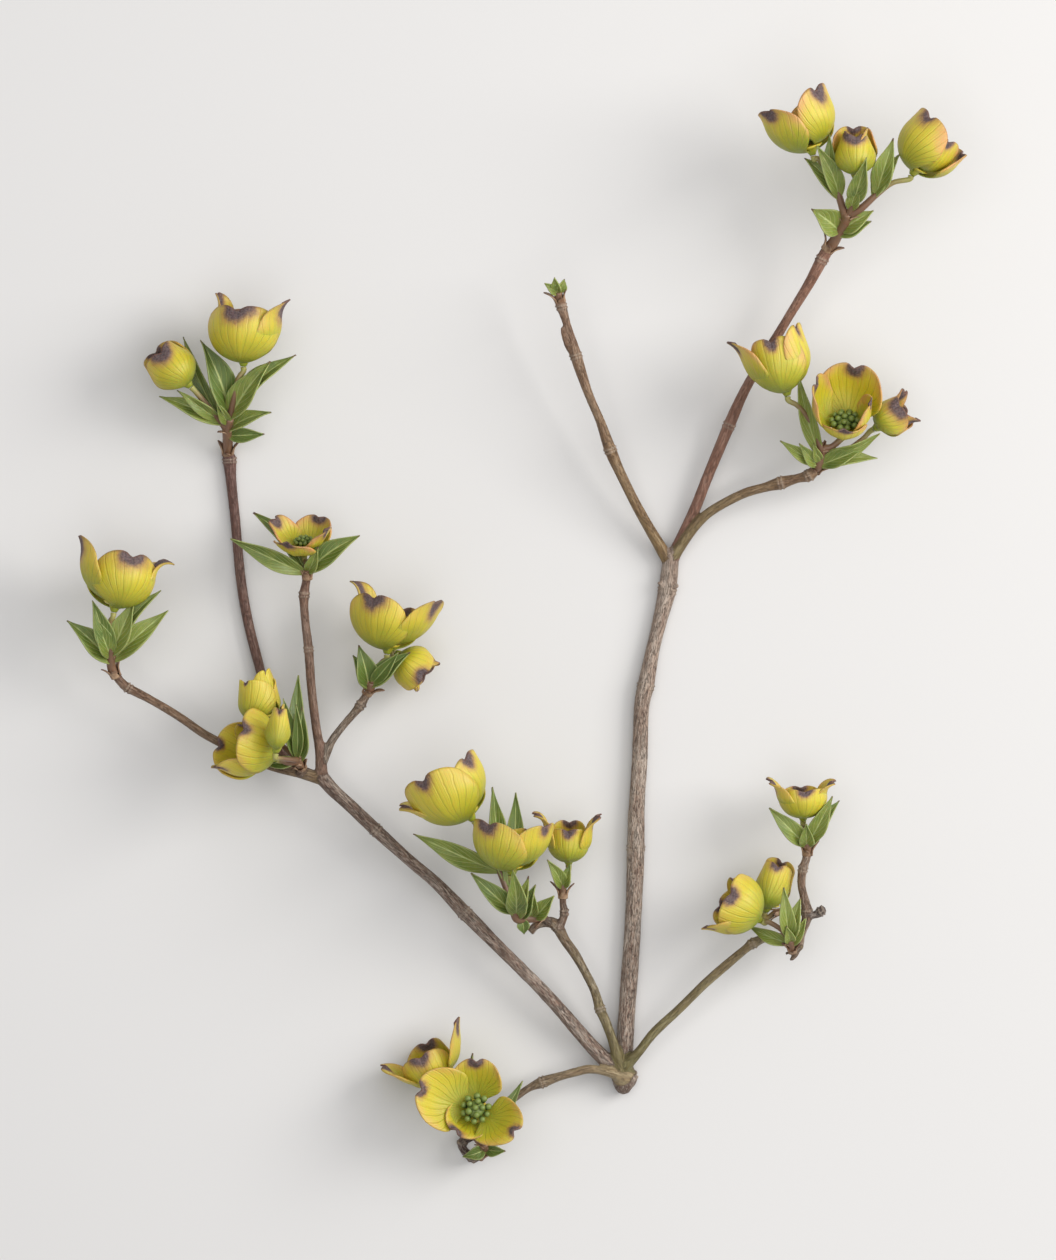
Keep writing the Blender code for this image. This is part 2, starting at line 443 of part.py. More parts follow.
def bract_point(u, v, length, half_width, steep, bend, nested, shoulder):
    """A place on a bract: across it from -1 to 1 and along it from 0 to 1, in its own plane of the cup."""
    notch = TIP_NOTCH * math.exp(-(u / NOTCH_WIDTH) ** 2) * v ** 3
    reach = v * (1 - notch - RIM_ROUNDNESS * abs(u) ** 3 * v)
    steps = PROFILE_STEPS
    radius, height = START_RADIUS, 0.0
    for i in range(steps):
        s = (i + 0.5) / steps * reach
        ramp = min(1.0, s / shoulder)
        rise = FOOT_RISE + (steep - FOOT_RISE) * ramp
        angle = math.radians(rise - bend * max(0.0, (s - TIP_STARTS) / (1 - TIP_STARTS)) ** 1.4)
        radius += math.cos(angle) * length * reach / steps
        height += math.sin(angle) * length * reach / steps
    swell = math.sin(math.pi / 2 * min(1.0, v / WIDEST)) ** 1.7
    narrowing = TIP_NARROWING * max(0.0, (v - NARROWS_FROM) / (1 - NARROWS_FROM)) ** 2
    side = u * half_width * (FOOT_SHARE + (1 - FOOT_SHARE) * swell) * (1 - narrowing)
    turn = side / radius
    ring = radius - nested * math.sin(angle)
    return Vector((ring * math.sin(turn), ring * math.cos(turn), height + nested * math.cos(angle)))


def bract(name, bloom, nested, turn, length, half_width, steep, bend):
    foot, side, front, axis = cup_frame(bloom)
    swing = math.radians(turn)
    out = front * math.cos(swing) + side * math.sin(swing)
    across = side * math.cos(swing) - front * math.sin(swing)
    bm = bmesh.new()
    cells = BRACT_CELLS_ACROSS - 1 if nested else BRACT_CELLS_ACROSS
    bmesh.ops.create_grid(bm, x_segments=cells, y_segments=BRACT_CELLS_ALONG, size=1)
    for vert in bm.verts:
        p = bract_point(vert.co.x, (vert.co.y + 1) / 2, length, half_width, steep, bend, nested,
                        BLOOMS[bloom][4])
        vert.co = foot + across * p.x + out * p.y + axis * p.z
    return blade(name, bm, BRACT_THICKNESS)


def placed_cone(name, bloom, bottom, top, bottom_radius, top_radius, sides, middle=(0, 0), tip=(0, 0)):
    """A cone or drum standing on the axis of a bloom, its two ends at the given heights."""
    foot, side, front, axis = cup_frame(bloom)
    bm = bmesh.new()
    bmesh.ops.create_cone(bm, cap_ends=True, segments=sides, radius1=bottom_radius, radius2=top_radius,
                          depth=1)
    for vert in bm.verts:
        share = vert.co.z + 0.5
        x = vert.co.x + middle[0] + (tip[0] - middle[0]) * share
        y = vert.co.y + middle[1] + (tip[1] - middle[1]) * share
        height = bottom + (top - bottom) * share
        vert.co = (foot + side * x + front * y + axis * height) * MM
    bmesh.ops.reverse_faces(bm, faces=bm.faces)
    return mesh_object(name, bm)


def nearest_on(stems, place):
    """The place on the middle line of any stem that is nearest to the given one."""
    best = None
    for rows in stems:
        for start, end in zip(rows, rows[1:]):
            start, end = Vector(start[:3]), Vector(end[:3])
            share = (place - start).dot(end - start) / (end - start).length_squared
            spot = start.lerp(end, min(1.0, max(0.0, share)))
            if best is None or (spot - place).length < (best - place).length:
                best = spot
    return best


def leaf(name, stems, foot, point, width, roll):
    """A pointed blade folded along its middle, arched between its foot on a stem and its point."""
    foot, point = nearest_on(stems, Vector(foot)), Vector(point)
    along = point - foot
    length = along.length
    along.normalize()
    across = along.cross(Vector((0, 0, 1))).normalized()
    normal = across.cross(along)
    lean = math.radians(roll)
    across, normal = (across * math.cos(lean) + normal * math.sin(lean),
                      normal * math.cos(lean) - across * math.sin(lean))
    bm = bmesh.new()
    cells = LEAF_CELLS_ALONG if width > SMALL_LEAF else LEAF_CELLS_ALONG - 1
    bmesh.ops.create_grid(bm, x_segments=2, y_segments=cells, size=1)
    for vert in bm.verts:
        v = (vert.co.y + 1) / 2
        half = width * (0.53 - 0.1 * v) * math.sin(math.pi * v ** 0.82) ** 1.15 + LEAF_FOOT * (1 - v) + 0.1
        rise = LEAF_FOLD * abs(vert.co.x) * half + LEAF_ARCH * length * math.sin(math.pi * v)
        vert.co = foot + along * length * v + across * vert.co.x * half * 0.95 + normal * rise
    return blade(name, bm, LEAF_THICKNESS)


def fill_hollows(mesh):
    """Takes away the inner skins of hollows that fusing has sealed."""
    bm = bmesh.new()
    bm.from_mesh(mesh)
    bmesh.ops.remove_doubles(bm, verts=bm.verts, dist=2 * WELD)
    left = set(bm.faces)
    doomed = []
    while left:
        island = set()
        stack = [left.pop()]
        while stack:
            face = stack.pop()
            island.add(face)
            for edge in face.edges:
                for near in edge.link_faces:
                    if near in left:
                        left.remove(near)
                        stack.append(near)
        start = next(iter(island)).verts[0].co.copy()
        volume = sum((f.verts[0].co - start).dot((f.verts[i].co - start).cross(f.verts[i + 1].co - start))
                     for f in island for i in range(1, len(f.verts) - 1))
        if volume < 0:
            doomed += list(island)
    bmesh.ops.delete(bm, geom=doomed, context="FACES")
    bm.to_mesh(mesh)
    bm.free()


def fused(name, first, others, kind):
    """One solid of all the pieces, with its own material, in the collection of the branch."""
    if others:
        group = bpy.data.collections.new(name + "_pieces")
        for thing in others:
            bpy.context.scene.collection.objects.unlink(thing)
            group.objects.link(thing)
        bpy.context.scene.collection.children.link(group)
        join = first.modifiers.new("join", "BOOLEAN")
        join.operation = "UNION"
        join.solver = "MANIFOLD"
        join.operand_type = "COLLECTION"
        join.collection = group
        first = applied(first)
        for thing in others:
            bpy.data.objects.remove(thing)
        bpy.data.collections.remove(group)
        fill_hollows(first.data)
    bpy.context.scene.collection.objects.unlink(first)
    parts.objects.link(first)
    first.name = name
    first.data.name = name
    first.data.materials.clear()
    first.data.materials.append(material(name, kind))
    return first


def make_wood():
    """All the twigs as one piece of wood, cut flat where it rests."""
    tubes = [tube("wood_" + name, rows, 1) for name, rows in TWIGS.items()]
    wood = fused("branch_wood", tubes[0], tubes[1:], "wood")
    bm = bmesh.new()
    bmesh.ops.create_cube(bm, size=1)
    for vert in bm.verts:
        x, y, z = vert.co
        vert.co = Vector((x * GROUND_SIDE, (y + 0.25) * GROUND_SIDE, (z - 0.5) * GROUND_DEPTH)) * MM
    ground = mesh_object("ground_cutter", bm)
    ground.hide_render = True
    ground.display_type = "WIRE"
    bpy.context.scene.collection.objects.unlink(ground)
    cutters.objects.link(ground)
    cut = wood.modifiers.new("three low flats", "BOOLEAN")
    cut.operation = "DIFFERENCE"
    cut.solver = "MANIFOLD"
    cut.object = ground


def make_bracts(bloom):
    """The four bracts of a bloom, fused to the receptacle that carries them."""
    head = BLOOMS[bloom][3]
    above = RECEPTACLE_ABOVE if head else CLOSED_BUD_CORE
    base = placed_cone("receptacle", bloom, -RECEPTACLE_BELOW, above, STALK_TOP_RADIUS, RECEPTACLE_RADIUS, 6)
    blades = [bract(f"{bloom}_{i}", bloom, NEST * (i % 2), *row) for i, row in enumerate(BLOOMS[bloom][5])]
    fused(f"bloom_{bloom}_bracts", base, blades, "bracts")


def make_head(bloom):
    """The flower button inside the bracts: a dome with florets standing out of it."""
    size = BLOOMS[bloom][3]
    dome = placed_cone("dome", bloom, HEAD_LIFT, HEAD_LIFT + 0.62 * size, 1.7, 0.78 * size, 6)
    florets = []
    for i in range(FLORETS):
        turn = 2 * math.pi * i / FLORETS
        low = (0.42 * size * math.sin(turn), 0.42 * size * math.cos(turn))
        high = (0.72 * size * math.sin(turn), 0.72 * size * math.cos(turn))
        florets.append(placed_cone("floret", bloom, HEAD_LIFT + 0.3 * size, HEAD_LIFT + 0.98 * size,
                                   0.30 * size, 0.20 * size, 4, low, high))
    florets.append(placed_cone("floret", bloom, HEAD_LIFT + 0.3 * size, HEAD_LIFT + 1.16 * size,
                               0.32 * size, 0.2 * size, 4))
    fused(f"bloom_{bloom}_head", dome, florets, "head")


def stem_rows(name):
    """The stems of a shoot with their bloom, each from its root to its end."""
    twig, stems = SHOOTS[name]
    end, heading = twig_end(twig)
    start = end + heading * GAP
    out = []
    for i, (bloom, rows) in enumerate(stems):
        rows = list(rows)
        if i == 0:
            first = rows[0][3]
            rows = [(*start, first), (*(start + heading * ROOT_STRAIGHT), first)] + rows
        if bloom:
            foot, side, front, axis = cup_frame(bloom)
            top = foot - axis * (RECEPTACLE_BELOW + GAP)
            rows += [(*(top - axis * STALK_STRAIGHT), STALK_RADIUS), (*top, STALK_TOP_RADIUS)]
        out.append((bloom, rows))
    return out


def make_shoot(name):
    """A green shoot: its stems and its leaves."""
    stems = stem_rows(name)
    pieces = [tube(f"stem_{name}_{i}", rows, 0 if bloom else 1) for i, (bloom, rows) in enumerate(stems)]
    lines = [rows for bloom, rows in stems]
    for i, row in enumerate(LEAVES[name]):
        pieces.append(leaf(f"leaf_{name}_{i}", lines, *row))
    fused(f"shoot_{name}", pieces[0], pieces[1:], "shoot")


for thing in list(bpy.data.objects):
    bpy.data.objects.remove(thing)
parts = bpy.data.collections.new(NAME)
cutters = bpy.data.collections.new("cutters")
bpy.context.scene.collection.children.link(parts)
bpy.context.scene.collection.children.link(cutters)

make_wood()
for shoot in SHOOTS:
    make_shoot(shoot)
for bloom in BLOOMS:
    make_bracts(bloom)
    if BLOOMS[bloom][3]:
        make_head(bloom)
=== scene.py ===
"""Flowering dogwood branch on a pale surface, seen from straight above in soft light."""
import math
import random

import bmesh
import bpy
from mathutils import Matrix, Vector, kdtree, noise


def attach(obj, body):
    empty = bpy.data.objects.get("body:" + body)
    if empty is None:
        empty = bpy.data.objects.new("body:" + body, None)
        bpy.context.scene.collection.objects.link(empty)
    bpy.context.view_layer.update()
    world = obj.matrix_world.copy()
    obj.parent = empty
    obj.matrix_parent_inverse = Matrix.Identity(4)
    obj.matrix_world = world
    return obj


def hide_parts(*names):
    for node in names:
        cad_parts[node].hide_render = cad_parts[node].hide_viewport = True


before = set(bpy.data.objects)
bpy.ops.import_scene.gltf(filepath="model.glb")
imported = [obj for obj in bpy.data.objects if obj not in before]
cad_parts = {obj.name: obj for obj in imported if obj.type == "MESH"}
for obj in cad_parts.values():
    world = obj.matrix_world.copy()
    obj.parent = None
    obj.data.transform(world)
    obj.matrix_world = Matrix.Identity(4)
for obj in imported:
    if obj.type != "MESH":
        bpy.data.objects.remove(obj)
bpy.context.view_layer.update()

MM = 0.001

# Sizes in millimetres, as in the part's source
GAP = 0.3
START_RADIUS = 1.5
NEST = 2.1
RECEPTACLE_BELOW = 1.6
RECEPTACLE_ABOVE = 2.5
BARE_RECEPTACLE_ABOVE = 3.4
HEAD_LIFT = 2.85
DOME_FOOT_RADIUS = 1.6
STALK_END = 1.5
STALK_RADIUS = 0.95
STALK_END_RADIUS = 1.1
BRACT_THICKNESS = 0.5
LEAF_THICKNESS = 0.4
SCALE_THICKNESS = 0.4
LONG_SCALE = 5.6
SHORT_SCALE = 3.4
BARK_VOXEL = 0.48
PICTURE_CENTRE = (-34.65, 155.75)
PICTURE_HEIGHT = 441.0
CAMERA_HEIGHT = 3000.0
SENSOR = 36.0

# Faces across and along the thin pieces
BRACT_FACES = (22, 26)
LEAF_FACES = (12, 26)
SCALE_FACES = (6, 8)

# Where a shoot's stems and scales are in its row of materials
STEM_SLOT = 2
SCALE_SLOT = 3

# How far the colour of a main stem goes towards that of a flower stalk, and how large a stalk's scales are
MAIN_STEM_SHARE = 0.35
STALK_SCALE_SIZE = 0.6

# Outlines as (radius, height): the receptacle, and its brim in a bloom with a button
RECEPTACLE_FOOT = [(0, -RECEPTACLE_BELOW), (1.05, -RECEPTACLE_BELOW), (1.35, -1.0), (1.75, -0.2), (2.05, 0.8)]
BRIM = [(3.3, 1.0), (4.3, 1.75), (4.1, 1.95), (3.0, 1.6)]

# The same as shares of the button's size and of a floret's own size
DOME = [(0.62, 0.25), (0.70, 0.45), (0.5, 0.68), (0, 0.75)]
FLORET = [(0, -0.4), (0.62, -0.2), (0.86, 0.5), (0.95, 1.1), (0.8, 1.6), (0.42, 1.92), (0, 1.98)]
FLORET_SIZE = 0.27

# Ring of florets: how many, how far on the first one is, distance from the middle, height, outward lean
FLORET_RINGS = [(1, 0.0, 0.0, 0.60, 0), (5, 0.0, 0.45, 0.52, 20), (10, 0.5, 0.79, 0.28, 42)]

# Each twig is a row of (x, y, z, radius), from its thick end to its tip
TWIGS = {
    "heel": [(-2, 1.5, 4.2, 3.4), (-1, -0.5, 3.9, 4.6), (-1, -4, 3.5, 3.4), (-0.5, -6, 2.8, 1.4)],
    "main_stem": [(-2, -1, 4, 4.2), (-1, 4.5, 3.7, 3.3), (-0.5, 16, 3.4, 3), (0.5, 30, 3.4, 3),
        (1.5, 44.5, 3.4, 3), (2.5, 61.5, 3.4, 2.95), (3, 79.5, 3.5, 3.15), (3.5, 96.5, 3.4, 2.8),
        (4.5, 112, 3.3, 2.8), (5, 128, 3.2, 2.7), (6.5, 136, 3.2, 2.95), (9, 149, 3, 2.5),
        (11.5, 159, 2.9, 2.6), (14, 169.5, 2.5, 3.2), (15, 178, 3.2, 3), (15.5, 183, 3.8, 2.8)],
    "upper_right_twig": [(15.5, 180, 3.5, 2.5), (20.5, 191, 4.5, 2.1), (24.5, 200, 5.5, 2),
        (29, 211.5, 6.5, 1.95), (35.5, 227, 8.5, 2.15), (41, 239.5, 10, 1.8), (49, 253, 12.5, 1.75),
        (56, 264.5, 15, 1.7), (63, 276, 17.5, 1.9), (67.5, 284.5, 20, 2.2), (69.5, 288, 21, 2.1)],
    "bare_twig": [(14.5, 180, 3.6, 2.4), (8.5, 190, 6, 2), (3, 199.5, 9, 1.85),
        (-2.5, 210.5, 12, 1.85), (-6, 218.5, 14, 2.1), (-9.5, 228.5, 16, 1.65),
        (-14, 239, 18.5, 1.65), (-18, 251, 20.5, 2.1), (-21, 261.5, 22, 1.4), (-23, 268, 23, 1.9),
        (-23.5, 270, 23.4, 1.8)],
    "middle_right_twig": [(16, 181.5, 4, 2.3), (22, 190, 6, 1.9), (27, 195.5, 7.5, 1.8),
        (33, 199.5, 9, 1.75), (41, 203.5, 10.5, 1.7), (48, 205.5, 11.5, 1.7), (53.5, 207, 12.5, 2.3),
        (59, 208.5, 13.5, 1.65), (63, 209.5, 14.5, 2.1), (65.5, 211.5, 15.2, 1.9)],
    "left_arm": [(-2, 0, 4.6, 3.2), (-9.5, 7.5, 6, 2.7), (-16, 14.5, 7, 2.5), (-25, 25, 9, 2.35),
        (-33.5, 34, 10.5, 2.25), (-45.5, 46, 12, 2.25), (-56.5, 57, 13, 2.6),
        (-65.5, 66.5, 13.5, 2.2), (-76.5, 76, 14.2, 2.1), (-87.5, 86, 15, 2.35), (-96, 94, 15, 2.3),
        (-102, 99.5, 15, 2.35), (-106.5, 104.5, 15, 2.6)],
    "far_left_twig": [(-105.5, 103.5, 15, 2.3), (-114, 106, 15, 2), (-121, 107.5, 15.3, 1.7),
        (-128.5, 110, 15.7, 1.6), (-136.5, 114, 16, 1.6), (-146.5, 119, 16.5, 1.55),
        (-156, 125.5, 17, 1.5), (-166, 131.5, 17.5, 1.5), (-173.5, 135.5, 18, 1.7),
        (-176, 137.5, 18.3, 1.6), (-178, 140, 18.7, 1.6)],
    "top_left_twig": [(-106.5, 104, 14.5, 2.1), (-114, 107, 11.5, 1.8), (-120, 111.5, 8.5, 1.75),
        (-125, 122.5, 5, 1.7), (-127.5, 138.5, 3.2, 1.75), (-132, 156, 2.6, 1.8),
        (-135, 173, 2.4, 1.8), (-137, 194, 2.3, 1.8), (-138.5, 208, 2.3, 1.9), (-139, 215, 2, 2.45),
        (-139.5, 217.5, 2.8, 2)],
    "inner_left_twig": [(-106.5, 105.5, 15.2, 2.3), (-107, 113.5, 15.5, 1.9),
        (-108.5, 122.5, 16, 1.6), (-110, 135, 16.5, 1.6), (-111, 149, 17, 1.65),
        (-112, 157.5, 17.5, 1.55), (-112.5, 164, 18, 1.6), (-112.5, 168, 18.3, 1.85),
        (-112, 171.5, 18.6, 1.55), (-111.5, 174, 19, 1.6)],
    "centre_left_twig": [(-106.5, 109, 15.4, 1.8), (-103, 117, 15.6, 1.5), (-98.5, 123, 15.8, 1.4),
        (-95, 127, 16, 1.5), (-93, 129.5, 16.3, 1.8), (-91.5, 132, 16.6, 1.5), (-90.5, 134, 17, 1.6)],
    "centre_twig": [(-2, 2, 6, 2.3), (-5, 12, 8, 1.75), (-7.5, 19, 9, 1.8), (-9.5, 23.5, 9.5, 1.9),
        (-11.5, 30, 10.5, 1.6), (-15, 37, 11.5, 1.6), (-18.5, 43, 12.5, 1.8), (-22, 48, 13.2, 1.8),
        (-24.5, 52.5, 13.6, 2.1), (-27.5, 54, 13.8, 1.9), (-31.5, 53, 13.8, 1.5),
        (-34, 50.5, 13.9, 1.5)],
    "centre_spur": [(-24, 51.5, 13.8, 1.7), (-22.5, 55, 14.5, 1.5), (-22, 57.5, 15, 1.55),
        (-22.5, 60.5, 15.5, 1.3), (-22.5, 63, 16, 1.35)],
    "centre_leaf_spur": [(-27.5, 54, 14, 1.6), (-28.5, 55, 15.4, 1.4), (-30, 56, 16.6, 1.3)],
    "lower_left_twig": [(-1, -0.5, 6.4, 2.2), (-7, 1.5, 8, 1.6), (-13, 2.5, 8.8, 1.65),
        (-18, 1.5, 9, 1.65), (-23.5, 0, 9, 1.6), (-29.5, -2, 9, 2), (-34, -4, 8.6, 1.4),
        (-39, -7.5, 8, 1.35), (-44, -12, 7.2, 1.35), (-48, -16, 6.4, 1.4), (-50.5, -19.5, 6, 1.5)],
    "lower_left_spur": [(-48.5, -17, 6.2, 1.4), (-53, -20.5, 5.4, 1.5), (-57.5, -23, 5, 1.7),
        (-57, -26, 4.4, 1.5), (-54, -28.5, 4, 2), (-51.5, -28, 4.6, 1.5)],
    "right_twig": [(-1, 3, 6, 2.3), (4, 8.5, 8, 1.7), (9.5, 15.5, 9.5, 1.7), (18.5, 24, 11, 1.65),
        (26.5, 32, 12.5, 1.65), (35, 39.5, 13.5, 1.65), (41, 44.5, 14, 1.5), (43.5, 46.5, 14.3, 1.9),
        (48, 48.5, 14.8, 1.45), (53, 49, 15.3, 1.4), (57.5, 47.5, 15.6, 1.6), (59.5, 45.5, 15.8, 1.9)],
    "right_spur": [(59.5, 45, 15.6, 1.8), (60.5, 50, 16, 1.6), (62, 54, 16.4, 1.7),
        (62.5, 57.5, 16.6, 2), (61.5, 62.5, 17, 1.5), (60.5, 67.5, 17.3, 1.45),
        (61, 72.5, 17.6, 1.65), (62, 75.5, 17.9, 1.5), (62.5, 78, 18.2, 1.6)],
    "right_stub": [(62, 57, 16.6, 1.4), (65, 56.5, 16.6, 1.3), (67.5, 58, 16.9, 1.8),
        (69, 58.5, 17, 1)],
    "right_leaf_spur": [(59.5, 45.5, 15.8, 1.6), (58.5, 44.5, 16.6, 1.5), (57.5, 44.5, 17.4, 1.4)],
    "right_back_stalk": [(62, 57.5, 15.8, 1.2), (58, 57.5, 14, 0.9), (55.5, 57.5, 12.9, 0.9),
        (53.5, 57.5, 12.4, 1)],
    "lower_left_leaf_spur": [(-114, 106, 15.6, 1.7), (-113.5, 107, 17, 1.4), (-113.5, 108, 18.2, 1.4)],
}

# Small side buds and dry scales that the wood carries, as rows of the same kind
SIDE_BUDS = {
    "left_of_fork": [(13, 171.3, 4, 1), (11.3, 172, 5.2, 0.8), (10.7, 172.5, 5.5, 0.6)],
    "right_of_fork": [(15.5, 170.9, 4, 1.1), (17.3, 171.2, 5.3, 0.95), (17.9, 171.4, 5.6, 0.7)],
    "long_bud": [(-19.2, 251.5, 20.6, 1), (-20.9, 254.5, 21.4, 1.05), (-22.2, 258, 22.2, 0.9),
        (-23, 261, 22.8, 0.55)],
    "spur_scale": [(59, 44, 15.8, 1.2), (57.8, 41.9, 16, 0.95), (56.5, 40.7, 16.2, 0.5)],
    "spur_thorn": [(58.5, 43.8, 16.4, 0.75), (56.3, 43.4, 16.8, 0.6), (54.8, 43.1, 17, 0.5)],
}

# Bark of each twig: the colours of its thick end and of its tip, and how fissured it is at each
BARK = {
    "heel": ((0.33, 0.25, 0.19), (0.28, 0.20, 0.15), 1, 1),
    "main_stem": ((0.40, 0.31, 0.24), (0.42, 0.33, 0.26), 1, 0.35),
    "upper_right_twig": ((0.25, 0.12, 0.075), (0.29, 0.145, 0.09), 0.15, 0.1),
    "bare_twig": ((0.25, 0.16, 0.055), (0.25, 0.145, 0.085), 0.1, 0.2),
    "middle_right_twig": ((0.221, 0.17, 0.068), (0.238, 0.138, 0.068), 0.1, 0.1),
    "left_arm": ((0.34, 0.25, 0.19), (0.20, 0.135, 0.095), 0.95, 0.5),
    "far_left_twig": ((0.212, 0.138, 0.06), (0.204, 0.113, 0.06), 0.15, 0.2),
    "top_left_twig": ((0.17, 0.084, 0.052), (0.145, 0.062, 0.045), 0.2, 0.1),
    "inner_left_twig": ((0.204, 0.113, 0.068), (0.221, 0.121, 0.075), 0.2, 0.2),
    "centre_left_twig": ((0.18, 0.135, 0.09), (0.24, 0.17, 0.11), 0.5, 0.5),
    "centre_twig": ((0.22, 0.19, 0.065), (0.22, 0.15, 0.09), 0.1, 0.6),
    "centre_spur": ((0.187, 0.113, 0.068), (0.204, 0.121, 0.075), 0.5, 0.4),
    "centre_leaf_spur": ((0.136, 0.089, 0.052), (0.136, 0.089, 0.052), 0.5, 0.5),
    "lower_left_twig": ((0.34, 0.26, 0.13), (0.19, 0.13, 0.085), 0.1, 0.5),
    "lower_left_spur": ((0.128, 0.081, 0.06), (0.111, 0.073, 0.06), 0.7, 0.7),
    "right_twig": ((0.20, 0.18, 0.06), (0.289, 0.22, 0.11), 0.15, 0.2),
    "right_spur": ((0.238, 0.162, 0.098), (0.255, 0.162, 0.098), 0.5, 0.5),
    "right_stub": ((0.136, 0.097, 0.075), (0.076, 0.057, 0.052), 0.6, 0.6),
    "right_leaf_spur": ((0.187, 0.13, 0.075), (0.187, 0.13, 0.075), 0.4, 0.4),
    "right_back_stalk": ((0.221, 0.146, 0.09), (0.255, 0.146, 0.09), 0.2, 0.1),
    "lower_left_leaf_spur": ((0.17, 0.105, 0.06), (0.17, 0.105, 0.06), 0.4, 0.4),
}

# Bloom: foot of the cup, heading in the picture plane, lift off it, head size, how far along its bracts
# stop steepening, and four bracts, each with its turn, length, half width, steepest rise and tip bend
BLOOMS = {
    "a1": ((-133.5, 249, 21), 88, 8, 3.6, 0.78, [
        (350, 27, 18, 108, 0), (78, 28.5, 15, 94, 60), (170, 23, 15, 104, 0), (256, 29, 12, 112, 60)]),
    "a2": ((-153, 241.5, 20), 134, 8, 3, 0.62, [
        (8, 20, 13, 110, 0), (98, 19.5, 11, 104, 10), (188, 20, 12, 104, 20), (278, 19.5, 11, 104, 0)]),
    "b1": ((-178, 163.5, 28), 80, -4, 3.6, 0.78, [
        (22, 25.5, 16, 108, 0), (116, 26, 13, 92, 120), (194, 22, 15, 96, 0), (283, 30, 13, 87, 35)]),
    "c1": ((-123.5, 111.5, 25), 156, 20, 3.4, 0.74, [
        (26, 25, 14, 92, 0), (118, 20, 12, 96, 0), (200, 23, 13, 92, 10), (290, 25, 11.5, 92, 25)]),
    "c2": ((-127, 124.5, 19.5), 98, 10, 2.8, 0.55, [
        (318, 19, 12.5, 100, 0), (44, 22, 9.5, 98, 15), (138, 17, 10, 98, 0), (228, 17, 10, 100, 0)]),
    "c3": ((-121.5, 115, 42.5), 84, 8, 0, 0.36, [
        (0, 16.5, 7, 104, 0), (92, 17.5, 6, 102, 20), (180, 16, 7, 104, 0), (268, 16, 6, 102, 0)]),
    "d1": ((-112.5, 183, 21), 93, 26, 2.9, 0.78, [
        (330, 14, 9, 66, 60), (58, 15, 8, 68, 20), (150, 14.5, 9, 64, 20), (238, 15.5, 8.5, 60, 30)]),
    "e1": ((-83.5, 149, 21), 84, 4, 3.4, 0.76, [
        (332, 26.5, 13.5, 91, 0), (62, 28, 13, 72, 15), (160, 20, 12.5, 92, 0), (246, 28, 10, 98, 95)]),
    "e2": ((-79.5, 147, 13), 322, 6, 0, 0.62, [
        (5, 16, 11, 92, 0), (95, 16, 9, 88, 10), (185, 15, 11, 92, 0), (275, 16, 9, 88, 20)]),
    "f1": ((-54.5, 91, 27), 124, 8, 3.4, 0.76, [
        (328, 30.5, 17, 100, 0), (52, 28, 15, 88, 0), (160, 20, 13, 98, 0), (260, 25, 12, 64, 35)]),
    "f2": ((-40.5, 72.5, 31), 88, 10, 3.4, 0.76, [
        (318, 26, 15, 92, 0), (50, 26, 14.5, 78, 10), (140, 18, 13, 88, 0), (232, 20, 13, 92, 0)]),
    "f3": ((-20.5, 75.5, 14.5), 90, 14, 2.8, 0.6, [
        (358, 16, 10.5, 100, 15), (84, 20, 9, 82, 60), (178, 16, 10, 96, 20), (278, 21, 7.5, 84, 80)]),
    "g1": ((-52.5, -12, 16.5), 105, 74, 4.6, 0.78, [
        (306, 12.5, 10, 60, 50), (42, 19.5, 12, 44, 30), (164, 19, 10, 56, 40), (238, 24, 14, 46, 10)]),
    "g2": ((-65.5, -2, 8.3), 120, 16, 3.2, 0.7, [
        (350, 19.5, 11.5, 96, 0), (68, 27, 9, 68, 15), (165, 17, 11, 92, 10), (268, 22, 10, 66, 20)]),
    "h1": ((61, 91, 20), 91, 14, 3, 0.76, [
        (3, 15.5, 15, 96, 0), (84, 16, 10.5, 80, 70), (186, 12.5, 11, 84, 0), (280, 18, 11, 78, 60)]),
    "h2": ((45, 55.5, 21.5), 150, 14, 3, 0.74, [
        (16, 22, 14, 98, 0), (105, 20, 12, 92, 0), (200, 17, 11.5, 90, 10), (286, 21.5, 11.5, 78, 20)]),
    "h3": ((48.5, 59, 12.3), 74, 8, 2.6, 0.42, [
        (350, 19.5, 9.5, 100, 0), (80, 19, 8.5, 98, 15), (170, 20, 9.5, 98, 10),
            (260, 19, 8.5, 98, 0)]),
    "i1": ((63.5, 321.5, 36), 106, 8, 3.2, 0.7, [
        (308, 25.5, 11.5, 86, 45), (46, 29, 13.5, 98, 0), (146, 21, 11, 98, 0), (240, 21, 11, 72, 10)]),
    "i2": ((78.5, 313.5, 38), 91, 10, 2.9, 0.6, [
        (0, 18, 14, 112, 0), (92, 18.5, 10, 104, 40), (182, 19.5, 11, 102, 30),
            (270, 18, 10, 106, 20)]),
    "i3": ((99, 314.5, 34), 57, 10, 3.2, 0.68, [
        (316, 26.5, 13.5, 104, 0), (36, 22, 12, 92, 0), (112, 20, 11.5, 80, 10), (215, 22, 12, 98, 0)]),
    "j1": ((55, 238.5, 28), 103, 8, 3.2, 0.66, [
        (346, 26, 12.5, 103, 0), (62, 29.5, 12, 98, 0), (165, 21, 11, 98, 0), (283, 28, 12, 80, 45)]),
    "j2": ((75, 225, 23), 88, 44, 4.4, 0.72, [
        (0, 13.5, 11, 76, 60), (84, 20, 11, 88, 0), (168, 25.5, 14, 84, 10), (256, 27, 12, 92, 10)]),
    "j3": ((87, 226.5, 17.5), 32, 12, 0, 0.56, [
        (340, 15, 10, 96, 0), (70, 16, 8, 90, 40), (160, 14, 9, 96, 0), (250, 17, 8, 92, 40)]),
}

